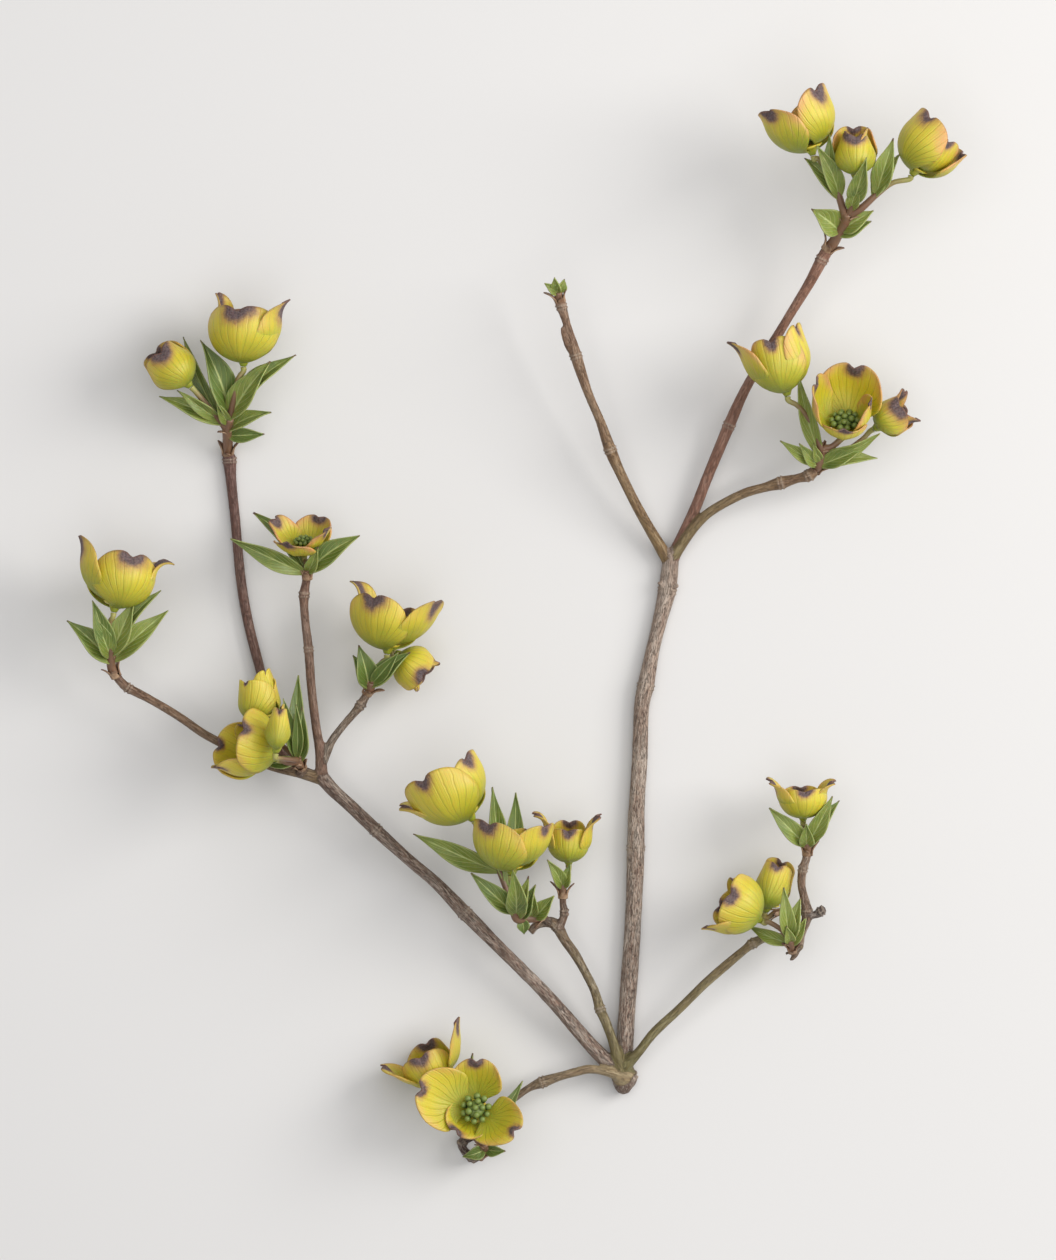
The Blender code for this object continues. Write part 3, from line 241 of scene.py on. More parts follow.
# Shoot: the twig it grows from, then its stems; a named stem carries that bloom
SHOOTS = {
    "a": ("top_left_twig", [
        ("", [(-139.5, 222, 6.5, 1.8), (-139.5, 226, 10, 1.75), (-138.5, 229.5, 13.5, 1.5)]),
        ("a1", [(-139.5, 226, 10, 1.4), (-137.5, 234, 17, 1.1), (-135.5, 242.5, 20.3, 1)]),
        ("a2", [(-139.5, 225.5, 9.5, 1.4), (-143.5, 230.5, 14.5, 1), (-148, 236, 18.5, 1)]),
    ]),
    "b": ("far_left_twig", [
        ("", [(-179.5, 143, 20, 1.6), (-179.5, 146.5, 22, 1.6), (-179.5, 149, 23.5, 1.35)]),
        ("b1", [(-179.5, 147, 22.5, 1.3), (-180, 153, 26, 1.1), (-179.5, 158.5, 27.5, 1)]),
    ]),
    "c": ("lower_left_leaf_spur", [
        ("", [(-114, 109, 20, 1.5), (-115, 111, 22, 1.7)]),
        ("c1", [(-114.5, 110, 21.5, 1.3), (-118, 109.5, 23.6, 0.9), (-120.5, 110.5, 24.4, 0.9)]),
        ("c2", [(-115, 111, 22, 1.3), (-120.5, 116, 20.4, 0.85), (-126, 120.5, 19.4, 0.85)]),
        ("c3", [(-114.5, 110.5, 21.2, 1.15), (-117.5, 111, 34.5, 0.8), (-120.5, 111.5, 40.5, 0.8)]),
    ]),
    "d": ("inner_left_twig", [
        ("", [(-111.5, 176.5, 19.8, 1.5), (-111.5, 178, 20.2, 1.5)]),
        ("d1", [(-111.5, 176.5, 19.9, 1.25), (-111.5, 179, 20.6, 1)]),
    ]),
    "e": ("centre_left_twig", [
        ("", [(-89.5, 135.5, 18.3, 1.6), (-89, 137.5, 19.5, 1.5)]),
        ("e1", [(-89, 137, 19.2, 1.2), (-87, 142, 20.5, 0.9), (-85.5, 144.5, 20.8, 0.9)]),
        ("e2", [(-89.5, 137, 18.8, 1.2), (-85.5, 142, 15.5, 0.85), (-82, 145, 13.8, 0.85)]),
    ]),
    "f": ("centre_leaf_spur", [
        ("", [(-32, 55.5, 18.5, 1.5), (-36, 55.5, 20, 1.6), (-38.5, 55.5, 22, 1.6),
            (-40, 59, 24.5, 1.3)]),
        ("f1", [(-39.5, 58, 23.5, 1.2), (-43.5, 69, 22, 1), (-48.5, 81, 24.5, 1),
            (-52.5, 87.5, 26.3, 1)]),
        ("f2", [(-39, 57.5, 22.8, 1.1), (-40, 64, 29, 0.95), (-40, 68, 30.6, 0.95)]),
    ]),
    "f3": ("centre_spur", [
        ("", [(-22.5, 65.5, 16.6, 1.35), (-22.5, 67.5, 17, 1.3)]),
        ("f3", [(-22.5, 66.5, 16.8, 1.1), (-22, 70, 16.6, 0.9), (-21, 72, 14.8, 0.9)]),
    ]),
    "g": ("lower_left_spur", [
        ("", [(-49.5, -26, 6.2, 1.4), (-50, -23.5, 8.6, 1.6)]),
        ("g1", [(-50, -24.5, 7.6, 1.3), (-50.5, -21.5, 10.5, 1), (-52, -15.5, 13, 1)]),
        ("g2", [(-50, -24, 8.2, 1.15), (-56.5, -18.5, 9.6, 0.9), (-62, -9.5, 8.7, 0.9)]),
    ]),
    "h1": ("right_spur", [
        ("", [(62.5, 80.5, 19.4, 1.5), (62.5, 82, 20, 1.5)]),
        ("h1", [(62.5, 81, 19.6, 1.25), (61.5, 85, 20.3, 0.95)]),
    ]),
    "h2": ("right_leaf_spur", [
        ("", [(57, 46, 19.5, 1.3), (56.5, 48, 21, 1.5)]),
        ("h2", [(56.5, 47, 20, 1.1), (53.5, 51.5, 21.5, 0.9), (48.5, 54.5, 21.5, 0.9)]),
    ]),
    "h3": ("right_back_stalk", [
        ("h3", [(51, 57, 12.2, 0.9), (49, 55.5, 12, 0.9)]),
    ]),
    "i": ("upper_right_twig", [
        ("", [(71.5, 290.5, 22.5, 1.95), (73.5, 294, 25, 1.8), (75.5, 297.5, 28, 1.75),
            (76, 300, 30, 1.7)]),
        ("i1", [(75.5, 298, 28.2, 1.35), (73.5, 304.5, 32, 1.3), (71, 311.5, 34, 1.1),
            (66, 318.5, 35.7, 0.95)]),
        ("i2", [(76, 298.5, 28.4, 1.4), (78, 304, 33, 1.4), (78.5, 308.5, 36.8, 1.1)]),
        ("i3", [(77, 299.5, 29.7, 1.35), (81, 302, 32, 1.3), (86, 306.5, 33.5, 1.1),
            (91.5, 310.5, 33.8, 0.95)]),
    ]),
    "j": ("middle_right_twig", [
        ("", [(66.5, 213, 17, 1.7), (67.5, 216.5, 18.5, 1.65), (68, 219.5, 19.8, 1.6)]),
        ("j1", [(67.5, 217.5, 19.5, 1.3), (64.5, 226, 23.5, 1), (59.5, 233, 27, 0.95)]),
        ("j2", [(68, 219, 19.8, 1.3), (71, 219.5, 20, 1.1), (74, 222, 20.3, 1.1)]),
        ("j3", [(67.5, 217, 18.9, 1.3), (74.5, 217.5, 17.2, 0.9), (81.5, 222, 17, 0.85)]),
    ]),
    "k": ("bare_twig", [
        ("", [(-24, 271.5, 24.2, 1.6), (-24, 273, 25.2, 1.3)]),
    ]),
}

# Leaf of a shoot: foot, point, width and roll of the blade
LEAVES = {
    "a": [
        ((-139, 229, 13), (-148.5, 256.5, 20), 10.5, -25),
        ((-141.5, 227.5, 11), (-155, 258, 9), 5.5, 20),
        ((-138, 228.5, 14), (-124, 249, 24), 9.5, 20),
        ((-137, 229.5, 13), (-115.5, 251.5, 18), 8.5, 35),
        ((-140.5, 227.5, 12), (-163, 237, 17), 6.5, -10),
        ((-141.5, 228, 13), (-156.5, 239, 21), 4.5, 15),
        ((-138.5, 225, 9.5), (-124, 231.5, 15), 6, 30),
        ((-138.5, 223, 8.5), (-126.5, 224, 11), 5, 0),
        ((-140, 227, 12.5), (-143, 235.5, 20), 3.5, 0),
    ],
    "b": [
        ((-180, 144, 21), (-194.5, 159, 27), 8, -15),
        ((-180, 145.5, 22), (-184.5, 160, 30), 6.5, -20),
        ((-179.5, 147, 23), (-185.5, 166, 31), 7, -10),
        ((-179, 146.5, 22.5), (-171, 166, 28), 8.5, 15),
        ((-179, 145.5, 22), (-162, 169.5, 28), 7, 30),
        ((-179, 144.5, 21), (-159.5, 162.5, 24), 8, 10),
    ],
    "c": [
        ((-114.5, 109.5, 20), (-113, 129, 27), 6.5, 10),
        ((-115.5, 111.5, 22), (-114.5, 140, 19), 5.5, 0),
        ((-115.5, 111.5, 22), (-119.5, 132, 29), 5, -20),
        ((-114.5, 111.5, 22), (-115, 130, 30), 3.5, 0),
        ((-115, 110.5, 21.5), (-127, 109, 20), 4, 0),
    ],
    "d": [
        ((-112, 175, 19), (-130.5, 196.5, 11), 7.5, -30),
        ((-112.5, 174.5, 21), (-138, 187.5, 23), 6.5, 10),
        ((-111, 175.5, 20), (-93, 188.5, 25), 8, 15),
        ((-111, 175, 20.2), (-107.5, 184.5, 27), 4, 0),
    ],
    "e": [
        ((-89.5, 134, 18), (-93.5, 150.5, 24), 8, -15),
        ((-90, 135, 18), (-95.5, 147, 20), 6.5, -25),
        ((-88, 135.5, 18.5), (-75.5, 148, 24), 7, 20),
        ((-88, 136.5, 19), (-79.5, 148, 27), 4.5, 0),
    ],
    "f": [
        ((-40, 57, 23), (-54.5, 71.5, 30), 7, -15),
        ((-39, 56.5, 23), (-40, 73, 39), 7.5, 0),
        ((-38, 56, 22), (-34.5, 70.5, 34), 5.5, 20),
        ((-36, 55.5, 21), (-32, 67.5, 30), 5, 20),
        ((-33, 55.5, 19.5), (-33, 65.5, 26), 4, 0),
        ((-32, 55.5, 19.5), (-25.5, 63.5, 25), 6, 15),
        ((-44.5, 71.5, 23), (-74.5, 85, 25), 7.5, 10),
        ((-43.5, 69, 23), (-47, 101, 12), 6.5, -15),
        ((-42, 66, 23.5), (-39, 99, 11), 7, -5),
        ((-37, 55.5, 20.5), (-36, 50, 19), 4, 0),
    ],
    "f3": [
        ((-23, 65.5, 18), (-28, 76, 24), 4.5, -10),
        ((-22, 65.5, 18), (-20, 74.5, 22), 4, 10),
    ],
    "g": [
        ((-50, -25.5, 6.4), (-57.5, -28, 10), 4.5, 0),
        ((-49.5, -25.5, 6.4), (-42.5, -26, 10), 4, 0),
        ((-49.5, -24.5, 8), (-36.5, -1.5, 11), 5.5, 10),
        ((-55.5, -18, 9.6), (-54, 8, 7.5), 4.5, 0),
    ],
    "h1": [
        ((61.5, 80.5, 19), (49, 94, 24), 6.5, -10),
        ((62, 80, 19.5), (62, 88.5, 26), 5, 0),
        ((63, 81, 19.5), (71, 98, 26), 6, -5),
        ((63, 80, 19), (73.5, 96.5, 22), 6, 20),
    ],
    "h2": [
        ((56, 47.5, 21), (54, 66.5, 28), 5.5, -10),
        ((57, 47.5, 20.5), (60, 63, 26), 5.5, 15),
        ((56.5, 46.5, 20.5), (55, 53, 26), 3.5, 0),
        ((56.5, 46.5, 20), (42.5, 52.5, 15), 4.5, 0),
        ((57, 46, 19.5), (62, 56, 24), 3.5, 0),
    ],
    "h3": [],
    "i": [
        ((74, 305, 32), (61, 319, 34), 6.5, -15),
        ((74, 305.5, 32), (65, 323, 40), 6.5, -10),
        ((71.5, 310, 33.5), (69.5, 327, 39), 4.5, 15),
        ((78.5, 303.5, 32), (82, 318.5, 47), 6.5, 0),
        ((86, 306, 33.5), (91.5, 325.5, 41), 7.5, 10),
        ((85, 305, 33), (94, 320.5, 36), 6, 20),
        ((73.5, 294, 25), (63.5, 301.5, 32), 9.5, -10),
        ((74.5, 294, 25), (85, 301, 31), 7, 10),
        ((73.5, 292.5, 24), (84.5, 297.5, 27), 5.5, 10),
        ((77, 301, 31), (79.5, 311, 40), 4.5, 0),
    ],
    "j": [
        ((67.5, 215.5, 18.5), (59, 245, 27), 5.5, 5),
        ((69, 216.5, 19), (87.5, 224, 25), 5, -30),
        ((66, 213.5, 17.5), (53, 221.5, 22), 4.5, 0),
        ((66, 212, 17), (59.5, 220.5, 24), 4.5, 0),
        ((67, 213, 17), (82.5, 219.5, 23), 6, 10),
        ((66.5, 212, 16.5), (87, 215.5, 17), 6, 25),
        ((67.5, 214, 18), (64.5, 220.5, 24), 3, 0),
    ],
    "k": [
        ((-24, 272.5, 24.4), (-29, 276, 27.5), 3, 0),
        ((-24.5, 274, 25.2), (-25.5, 278, 28.5), 3.5, 30),
        ((-24, 273, 24.8), (-22, 277.5, 26), 3.5, -30),
    ],
}

# How light the leaves of each shoot are; the low value for c is partly the leaves' own dark green and partly
# painted shade, as they lie in shadow
LEAF_TONE = {"a": 0.4, "b": 0.6, "c": 0.1, "d": 0.6, "e": 0.05, "f": 0.45, "f3": 0.5, "g": 0.3, "h1": 0.65,
             "h2": 0.75, "i": 0.6, "j": 0.7, "k": 0.7}

# Least and greatest share of the bract tips of a bloom that is withered dark
BURNT = {"a": (0.75, 1.0), "b": (0.8, 1.05), "c": (0.3, 0.6), "c2": (0.0, 0.1), "d": (0.85, 1.15),
         "e": (0.7, 0.95), "f": (0.45, 0.7), "f3": (0.6, 0.9), "g": (0.5, 0.9), "h": (0.4, 0.7),
         "i": (0.5, 0.85), "j": (0.4, 0.75), "j3": (1.0, 1.3)}

# How orange the rims of each group of blooms are
BLUSH = {"a": 0.35, "b": 0.3, "c": 0.3, "d": 0.85, "e": 0.25, "f": 0.35, "g": 0.45, "h": 0.35, "i": 0.8,
         "j": 0.75}


def direction(heading, lift):
    """The unit vector of a heading in the picture plane raised by a lift, both in degrees."""
    a, e = math.radians(heading), math.radians(lift)
    return Vector((math.cos(a) * math.cos(e), math.sin(a) * math.cos(e), math.sin(e)))


def cup_frame(bloom):
    """The foot of a bloom's cup with its side, front and axis vectors."""
    foot, heading, lift = BLOOMS[bloom][:3]
    axis = direction(heading, lift)
    up = Vector((0, 0, 1))
    front = (up - axis * up.dot(axis)).normalized()
    return Vector(foot), axis.cross(front), front, axis


def smooth_row(points, steps):
    """More points of (x, y, z, radius) along a smooth line through the given ones."""
    rows = [Vector(p) for p in points]
    rows = [2 * rows[0] - rows[1]] + rows + [2 * rows[-1] - rows[-2]]
    out = []
    for a, b, c, d in zip(rows, rows[1:], rows[2:], rows[3:]):
        for i in range(steps):
            t = i / steps
            out.append(0.5 * (2 * b + (c - a) * t + (2 * a - 5 * b + 4 * c - d) * t ** 2
                              + (3 * b - a - 3 * c + d) * t ** 3))
    return out + [rows[-2]]


def smoothstep(low, high, x):
    """From 0 at the low value to 1 at the high one, level at both ends."""
    t = min(1.0, max(0.0, (x - low) / (high - low)))
    return t * t * (3 - 2 * t)


def tree_of(spots):
    """A search tree of places that are given in millimetres."""
    tree = kdtree.KDTree(len(spots))
    for i, spot in enumerate(spots):
        tree.insert(spot * MM, i)
    tree.balance()
    return tree


def new_object(name, bm):
    """An object of the built shape, its place kept in the mesh."""
    mesh = bpy.data.meshes.new(name)
    bm.to_mesh(mesh)
    bm.free()
    thing = bpy.data.objects.new(name, mesh)
    bpy.context.scene.collection.objects.link(thing)
    return thing


def applied(thing):
    """The same object with its modifiers made real."""
    bpy.context.view_layer.update()
    solid = thing.evaluated_get(bpy.context.evaluated_depsgraph_get())
    mesh = bpy.data.meshes.new_from_object(solid)
    mesh.transform(thing.matrix_world)
    name = thing.name
    bpy.data.objects.remove(thing)
    made = bpy.data.objects.new(name, mesh)
    bpy.context.scene.collection.objects.link(made)
    return made


def sheet_grid(faces, names):
    """A flat grid from -1 to 1, to be shaped into a thin piece, with the named values on its vertices."""
    bm = bmesh.new()
    bmesh.ops.create_grid(bm, x_segments=faces[0], y_segments=faces[1], size=1)
    return bm, {key: bm.verts.layers.float.new(key) for key in names}


def thickened(name, bm, thickness, materials):
    """A thin piece of the shaped grid, with the first material on one side and the second on the other."""
    bmesh.ops.scale(bm, vec=(MM, MM, MM), verts=bm.verts)
    sheet = new_object(name, bm)
    skin = sheet.modifiers.new("thickness", "SOLIDIFY")
    skin.thickness = thickness * MM
    skin.offset = 0
    skin.material_offset = 1
    for mat in materials:
        sheet.data.materials.append(mat)
    return applied(sheet)


def slotted(piece, slot):
    """The piece with all its faces set to one place in the row of materials."""
    for face in piece.data.polygons:
        face.material_index = slot
    return piece


def joined(name, things, materials):
    """One object of several pieces, all with the same row of materials, and smooth faces."""
    for thing in things:
        kinds = [face.material_index for face in thing.data.polygons]
        thing.data.materials.clear()
        for mat in materials:
            thing.data.materials.append(mat)
        for face, kind in zip(thing.data.polygons, kinds):
            face.material_index = kind
    with bpy.context.temp_override(active_object=things[0], selected_editable_objects=things):
        bpy.ops.object.join()
    whole = things[0]
    whole.name = name
    whole.data.name = name
    for face in whole.data.polygons:
        face.use_smooth = True
    return whole


class Field:
    """A number or colour inside a material, with ordinary arithmetic."""

    def __init__(self, paint, socket):
        self.paint = paint
        self.socket = socket

    def both(self, operation, first, second):
        """The result of an operation on two numbers."""
        return self.paint.node("ShaderNodeMath", {0: first, 1: second}, operation=operation)

    def __add__(self, other):
        return self.both("ADD", self, other)

    def __radd__(self, other):
        return self.both("ADD", other, self)

    def __sub__(self, other):
        return self.both("SUBTRACT", self, other)

    def __rsub__(self, other):
        return self.both("SUBTRACT", other, self)

    def __mul__(self, other):
        return self.both("MULTIPLY", self, other)

    def __rmul__(self, other):
        return self.both("MULTIPLY", other, self)

    def __truediv__(self, other):
        return self.both("DIVIDE", self, other)

    def __pow__(self, other):
        return self.both("POWER", self, other)

    def __abs__(self):
        return self.both("ABSOLUTE", self, 0.0)


class Paint:
    """A material under construction: its shader and the ways to make what feeds it."""

    def __init__(self, name, roughness, sheen=0.0, glow_through=0.0, depth=1.5):
        self.material = bpy.data.materials.new(name)
        self.material.use_nodes = True
        self.tree = self.material.node_tree
        self.shader = self.tree.nodes["Principled BSDF"]
        self.shader.inputs["Roughness"].default_value = roughness
        self.shader.inputs["Coat Weight"].default_value = sheen
        self.shader.inputs["Coat Roughness"].default_value = 0.35
        self.shader.inputs["Subsurface Weight"].default_value = glow_through
        self.shader.inputs["Subsurface Scale"].default_value = depth * MM

    def node(self, kind, inputs, output=0, **settings):
        """Any node, from its settings and inputs."""
        made = self.tree.nodes.new(kind)
        for key, value in settings.items():
            setattr(made, key, value)
        for key, value in inputs.items():
            if isinstance(value, Field):
                self.tree.links.new(value.socket, made.inputs[key])
            elif isinstance(value, tuple) and len(value) == 3 and made.inputs[key].type == "RGBA":
                made.inputs[key].default_value = (*value, 1)
            else:
                made.inputs[key].default_value = value
        return Field(self, made.outputs[output])

    def number(self, name):
        """A number kept on the vertices."""
        return self.node("ShaderNodeAttribute", {}, output="Fac", attribute_name=name)

    def colour(self, name):
        """A colour kept on the vertices."""
        return self.node("ShaderNodeAttribute", {}, output="Color", attribute_name=name)

    def place(self):
        """The place on the object, in metres."""
        return self.node("ShaderNodeTexCoord", {}, output="Object")

    def stretched(self, vector, scale):
        """A vector scaled along each of its axes."""
        return self.node("ShaderNodeVectorMath", {0: vector, 1: scale}, operation="MULTIPLY")

    def combined(self, x, y, z):
        """A vector of three numbers."""
        return self.node("ShaderNodeCombineXYZ", {0: x, 1: y, 2: z})

    def grain(self, vector, scale, detail=3.0, roughness=0.55):
        """Cloudy noise from 0 to 1."""
        return self.node("ShaderNodeTexNoise",
                         {"Vector": vector, "Scale": scale, "Detail": detail, "Roughness": roughness})

    def step(self, value, low, high):
        """From 0 at the low value to 1 at the high one, level at both ends."""
        return self.node("ShaderNodeMapRange", {"Value": value, "From Min": low, "From Max": high},
                         interpolation_type="SMOOTHSTEP")

    def sine(self, value):
        """The sine of a number in radians."""
        return self.node("ShaderNodeMath", {0: value}, operation="SINE")

    def mix(self, share, a, b, blend="MIX"):
        """Colour a turning into colour b."""
        made = self.tree.nodes.new("ShaderNodeMix")
        made.data_type = "RGBA"
        made.blend_type = blend
        colour_inputs = [s for s in made.inputs if s.type == "RGBA"]
        for socket, value in zip([made.inputs[0], *colour_inputs], (share, a, b)):
            if isinstance(value, Field):
                self.tree.links.new(value.socket, socket)
            elif isinstance(value, tuple):
                socket.default_value = (*value, 1)
            else:
                socket.default_value = value
        return Field(self, [s for s in made.outputs if s.type == "RGBA"][0])

    def feed(self, name, value):
        """Gives a value to an input of the shader."""
        self.tree.links.new(value.socket, self.shader.inputs[name])

    def relief(self, height, depth):
        """Raises the surface by the height, of which 1 stands for so many millimetres."""
        bump = self.node("ShaderNodeBump", {"Strength": 1.0, "Distance": depth * MM, "Height": height})
        self.feed("Normal", bump)


def bract_paint(name, young, ripe):
    """Yellow-green bract, greener at the foot, with fine veins, blushed rim and a dark puckered notch."""
    vein_green = (0.24, 0.27, 0.02)
    thread_green = (0.30, 0.31, 0.03)
    cream = (0.70, 0.58, 0.09)
    rim_blush = (0.60, 0.29, 0.12)
    streak_blush = (0.58, 0.32, 0.13)
    rust = (0.36, 0.15, 0.07)
    withered = (0.070, 0.042, 0.044)
    ash_grey = (0.165, 0.115, 0.108)
    dry_edge = (0.17, 0.085, 0.045)
    p = Paint(name, 0.48, sheen=0.06, glow_through=0.22, depth=1.2)
    u, v, tone = p.number("across"), p.number("along"), p.number("tone")
    blush, burnt = p.number("blush"), p.number("burnt")
    place = p.place()
    cloud = p.grain(place, 140.0, 4.0)
    fine = p.grain(place, 1500.0, 4.0)
    spread = u / (0.30 + 0.9 * v)
    veins = p.step(abs(p.sine(spread * 15.0 + (cloud - 0.5) * 1.6)), 0.0, 0.42)
    threads = p.step(abs(p.sine(spread * 47.0 + cloud * 3.0)), 0.0, 0.6)
    colour = p.mix(p.step(v + (cloud - 0.5) * 0.5 + tone * 0.5, 0.1, 0.85), young, ripe)
    colour = p.mix((1 - veins) * 0.38 * p.step(v, 1.05, 0.45), colour, vein_green)
    colour = p.mix((1 - threads) * 0.22, colour, thread_green)
    colour = p.mix(p.step(v + (fine - 0.5) * 0.3, 0.55, 1.0) * 0.35, colour, cream)
    rim = p.step(abs(u) * 0.55 + v * 0.75 + (cloud - 0.5) * 0.5, 0.82, 1.22)
    colour = p.mix(rim * blush, colour, rim_blush)
    streak = p.step(p.grain(p.combined(u * 3.0, v * 0.6, tone * 9.0), 3.0, 4.0), 0.52, 0.74)
    colour = p.mix(streak * blush * 0.45 * p.step(v, 0.25, 0.8), colour, streak_blush)
    far = ((u * 1.15) ** 2.0 + ((1 - v) * 2.1) ** 2.0) ** 0.5 + (cloud - 0.5) * 0.52 + (fine - 0.5) * 0.10
    far = far / (0.15 + 0.95 * burnt)
    stain = p.step(far, 0.54, 0.30)
    colour = p.mix(p.step(far, 0.78, 0.36) * 0.75, colour, rust)
    colour = p.mix(stain, colour, p.mix(p.step(fine, 0.30, 0.75), withered, ash_grey))
    edge = p.step(v + (fine - 0.5) * 0.04, 0.955, 0.995)
    colour = p.mix(edge * 0.5 * burnt, colour, dry_edge)
    p.feed("Base Color", colour)
    p.feed("Roughness", 0.42 + stain * 0.3 + fine * 0.12)
    p.relief(veins * 0.5 + threads * 0.15 + cloud * 0.5 + fine * stain * 0.6, 0.25)
    return p.material


def leaf_paint(name, dark, light, vein, raised):
    """Fresh green leaf with curved side veins, raised on its underside and sunken on its upper side."""
    deep_green = (0.05, 0.09, 0.02)
    foot_green = (0.36, 0.42, 0.12)
    dry_tip = (0.14, 0.075, 0.04)
    p = Paint(name, 0.42, sheen=0.08, glow_through=0.15, depth=0.8)
    u, v, tone = p.number("across"), p.number("along"), p.number("tone")
    place = p.place()
    cloud = p.grain(place, 160.0, 4.0)
    fine = p.grain(place, 1100.0, 3.0)
    side = abs(u)
    bent = v - side * 0.34 - side * side * 0.14
    rib = p.step(abs(p.sine(bent * 19.0 + tone * 3.0)), 0.06, 0.46)
    middle = p.step(side, 0.03, 0.14)
    colour = p.mix(p.step(cloud + (tone - 0.5) * 1.1, 0.25, 0.75), dark, light)
    colour = p.mix(p.step(fine, 0.35, 0.7) * 0.18, colour, deep_green)
    colour = p.mix((1 - rib) * (0.2 + tone * 0.75), colour, vein)
    colour = p.mix(p.step(side, 0.86, 1.0) * 0.5, colour, vein)
    colour = p.mix((1 - middle) * 0.8, colour, vein)
    colour = p.mix(p.step(v, 0.22, 0.0) * 0.6, colour, foot_green)
    tipped = p.step(v + (cloud - 0.5) * 0.1, 0.93, 1.0) * p.number("burnt")
    colour = p.mix(tipped, colour, dry_tip)
    p.feed("Base Color", colour)
    p.feed("Roughness", 0.38 + fine * 0.16)
    height = 1 - rib * middle if raised else rib * middle
    p.relief(height + fine * 0.25, 0.16)
    return p.material


def stem_paint():
    """Flower stalk and young stem: maroon-brown at the foot, pale yellow-green towards the bloom."""
    maroon = (0.185, 0.10, 0.055)
    pale_green = (0.36, 0.35, 0.09)
    blotch = (0.20, 0.08, 0.045)
    p = Paint("young_stem", 0.45, sheen=0.08, glow_through=0.1, depth=0.8)
    place = p.place()
    cloud = p.grain(place, 260.0, 4.0)
    fine = p.grain(place, 1300.0, 3.0)
    colour = p.mix(p.step(p.number("along") + (cloud - 0.5) * 0.4, 0.30, 0.95), maroon, pale_green)
    colour = p.mix(p.step(cloud, 0.5, 0.75) * 0.55, colour, blotch)
    p.feed("Base Color", colour)
    p.relief(cloud + fine * 0.4, 0.12)
    return p.material


def scale_paint():
    """Dry brown bud scale, darker at its tip."""
    brown = (0.17, 0.085, 0.045)
    straw = (0.38, 0.25, 0.15)
    dark_tip = (0.10, 0.05, 0.03)
    p = Paint("bud_scale", 0.6)
    cloud = p.grain(p.place(), 500.0, 4.0)
    colour = p.mix(p.step(cloud, 0.3, 0.7), brown, straw)
    p.feed("Base Color", p.mix(p.step(p.number("along"), 0.55, 1.0) * 0.75, colour, dark_tip))
    p.relief(cloud, 0.2)
    return p.material


def floret_paint():
    """Closed floret: dark green below, lighter rounded lobes on top."""
    dark_green = (0.030, 0.058, 0.010)
    lobe_green = (0.17, 0.23, 0.045)
    p = Paint("floret", 0.5, sheen=0.1, glow_through=0.1, depth=0.6)
    fine = p.grain(p.place(), 1500.0, 3.0)
    colour = p.mix(p.step(p.number("along") + (fine - 0.5) * 0.3, 0.25, 0.9), dark_green, lobe_green)
    p.feed("Base Color", colour)
    p.relief(fine, 0.08)
    return p.material


def bark_paint():
    """Bark: coloured by its twig, with fissures along it darkened partly by painted shade, pale pores, and
    shine on the young twigs.
    """
    shade = (0.70, 0.62, 0.58)
    lichen_grey = (0.46, 0.40, 0.34)
    red_brown = (0.24, 0.12, 0.075)
    pale_fibre = (0.58, 0.50, 0.42)
    dark_fibre = (0.14, 0.062, 0.04)
    fissure_and_shade = (0.06, 0.035, 0.025)
    pore_tan = (0.34, 0.26, 0.17)
    scar_tan = (0.42, 0.33, 0.25)
    p = Paint("bark", 0.6, sheen=0.05)
    base, age = p.colour("bark_colour"), p.number("age")
    wrap = p.combined(p.number("round_x"), p.number("round_y"), p.number("length"))
    cloud = p.grain(p.stretched(wrap, (0.35, 0.35, 0.07)), 1.0, 5.0, 0.6)
    furrow = p.grain(p.stretched(wrap, (1.0, 1.0, 0.10)), 2.2, 6.0, 0.6)
    fleck = p.grain(p.stretched(wrap, (1.5, 1.5, 0.7)), 1.3, 4.0, 0.6)
    fibre = p.grain(p.stretched(wrap, (1.0, 1.0, 0.17)), 2.9, 4.0, 0.6)
    crack = p.step(abs(furrow - 0.5), 0.0, 0.035)
    colour = p.mix(p.step(cloud, 0.36, 0.64), base, shade, "MULTIPLY")
    colour = p.mix(p.step(cloud, 0.50, 0.36) * age * 0.5, colour, lichen_grey)
    colour = p.mix(p.step(fleck, 0.56, 0.72) * (0.2 + age * 0.3), colour, red_brown)
    colour = p.mix(p.step(fibre, 0.50, 0.60) * age * 0.5, colour, pale_fibre)
    colour = p.mix(p.step(fibre, 0.47, 0.39) * age * 0.65, colour, dark_fibre)
    # Sunken fissure lines darkened: partly the bark's own dark crevices, partly painted shade inside them
    colour = p.mix((1 - crack) * (0.2 + age * 0.6), colour, fissure_and_shade)
    colour = p.mix(p.step(fleck, 0.66, 0.74) * (1 - age) * 0.6, colour, pore_tan)
    colour = p.mix(p.number("ring") * 0.65, colour, scar_tan)
    p.feed("Base Color", colour)
    p.feed("Roughness", 0.48 + age * 0.25 + (1 - crack) * 0.1)
    p.relief(crack * (0.25 + age) + fibre * age * 1.5 + fleck * 0.5 + cloud * 0.3, 0.5)
    return p.material


def floor_paint():
    """Smooth off-white surface with faint clouds."""
    warm_white = (0.645, 0.635, 0.620)
    light_white = (0.665, 0.656, 0.643)
    p = Paint("pale_surface", 0.75)
    p.feed("Base Color", p.mix(p.grain(p.place(), 1.8, 2.0), warm_white, light_white))
    return p.material


def bract_profile(length, steep, bend, shoulder):
    """Radius, height and slope along the middle line of a bract, at even steps."""
    steps = 60
    first_rise = 4
    bend_start = 0.76
    radius, height = START_RADIUS, 0.0
    rows = []
    for i in range(steps + 1):
        s = i / steps
        rise = first_rise + (steep - first_rise) * min(1.0, s / shoulder)
        angle = math.radians(rise - bend * max(0.0, (s - bend_start) / (1 - bend_start)) ** 1.4)
        rows.append((radius, height, angle))
        radius += math.cos(angle) * length / steps
        height += math.sin(angle) * length / steps
    return rows


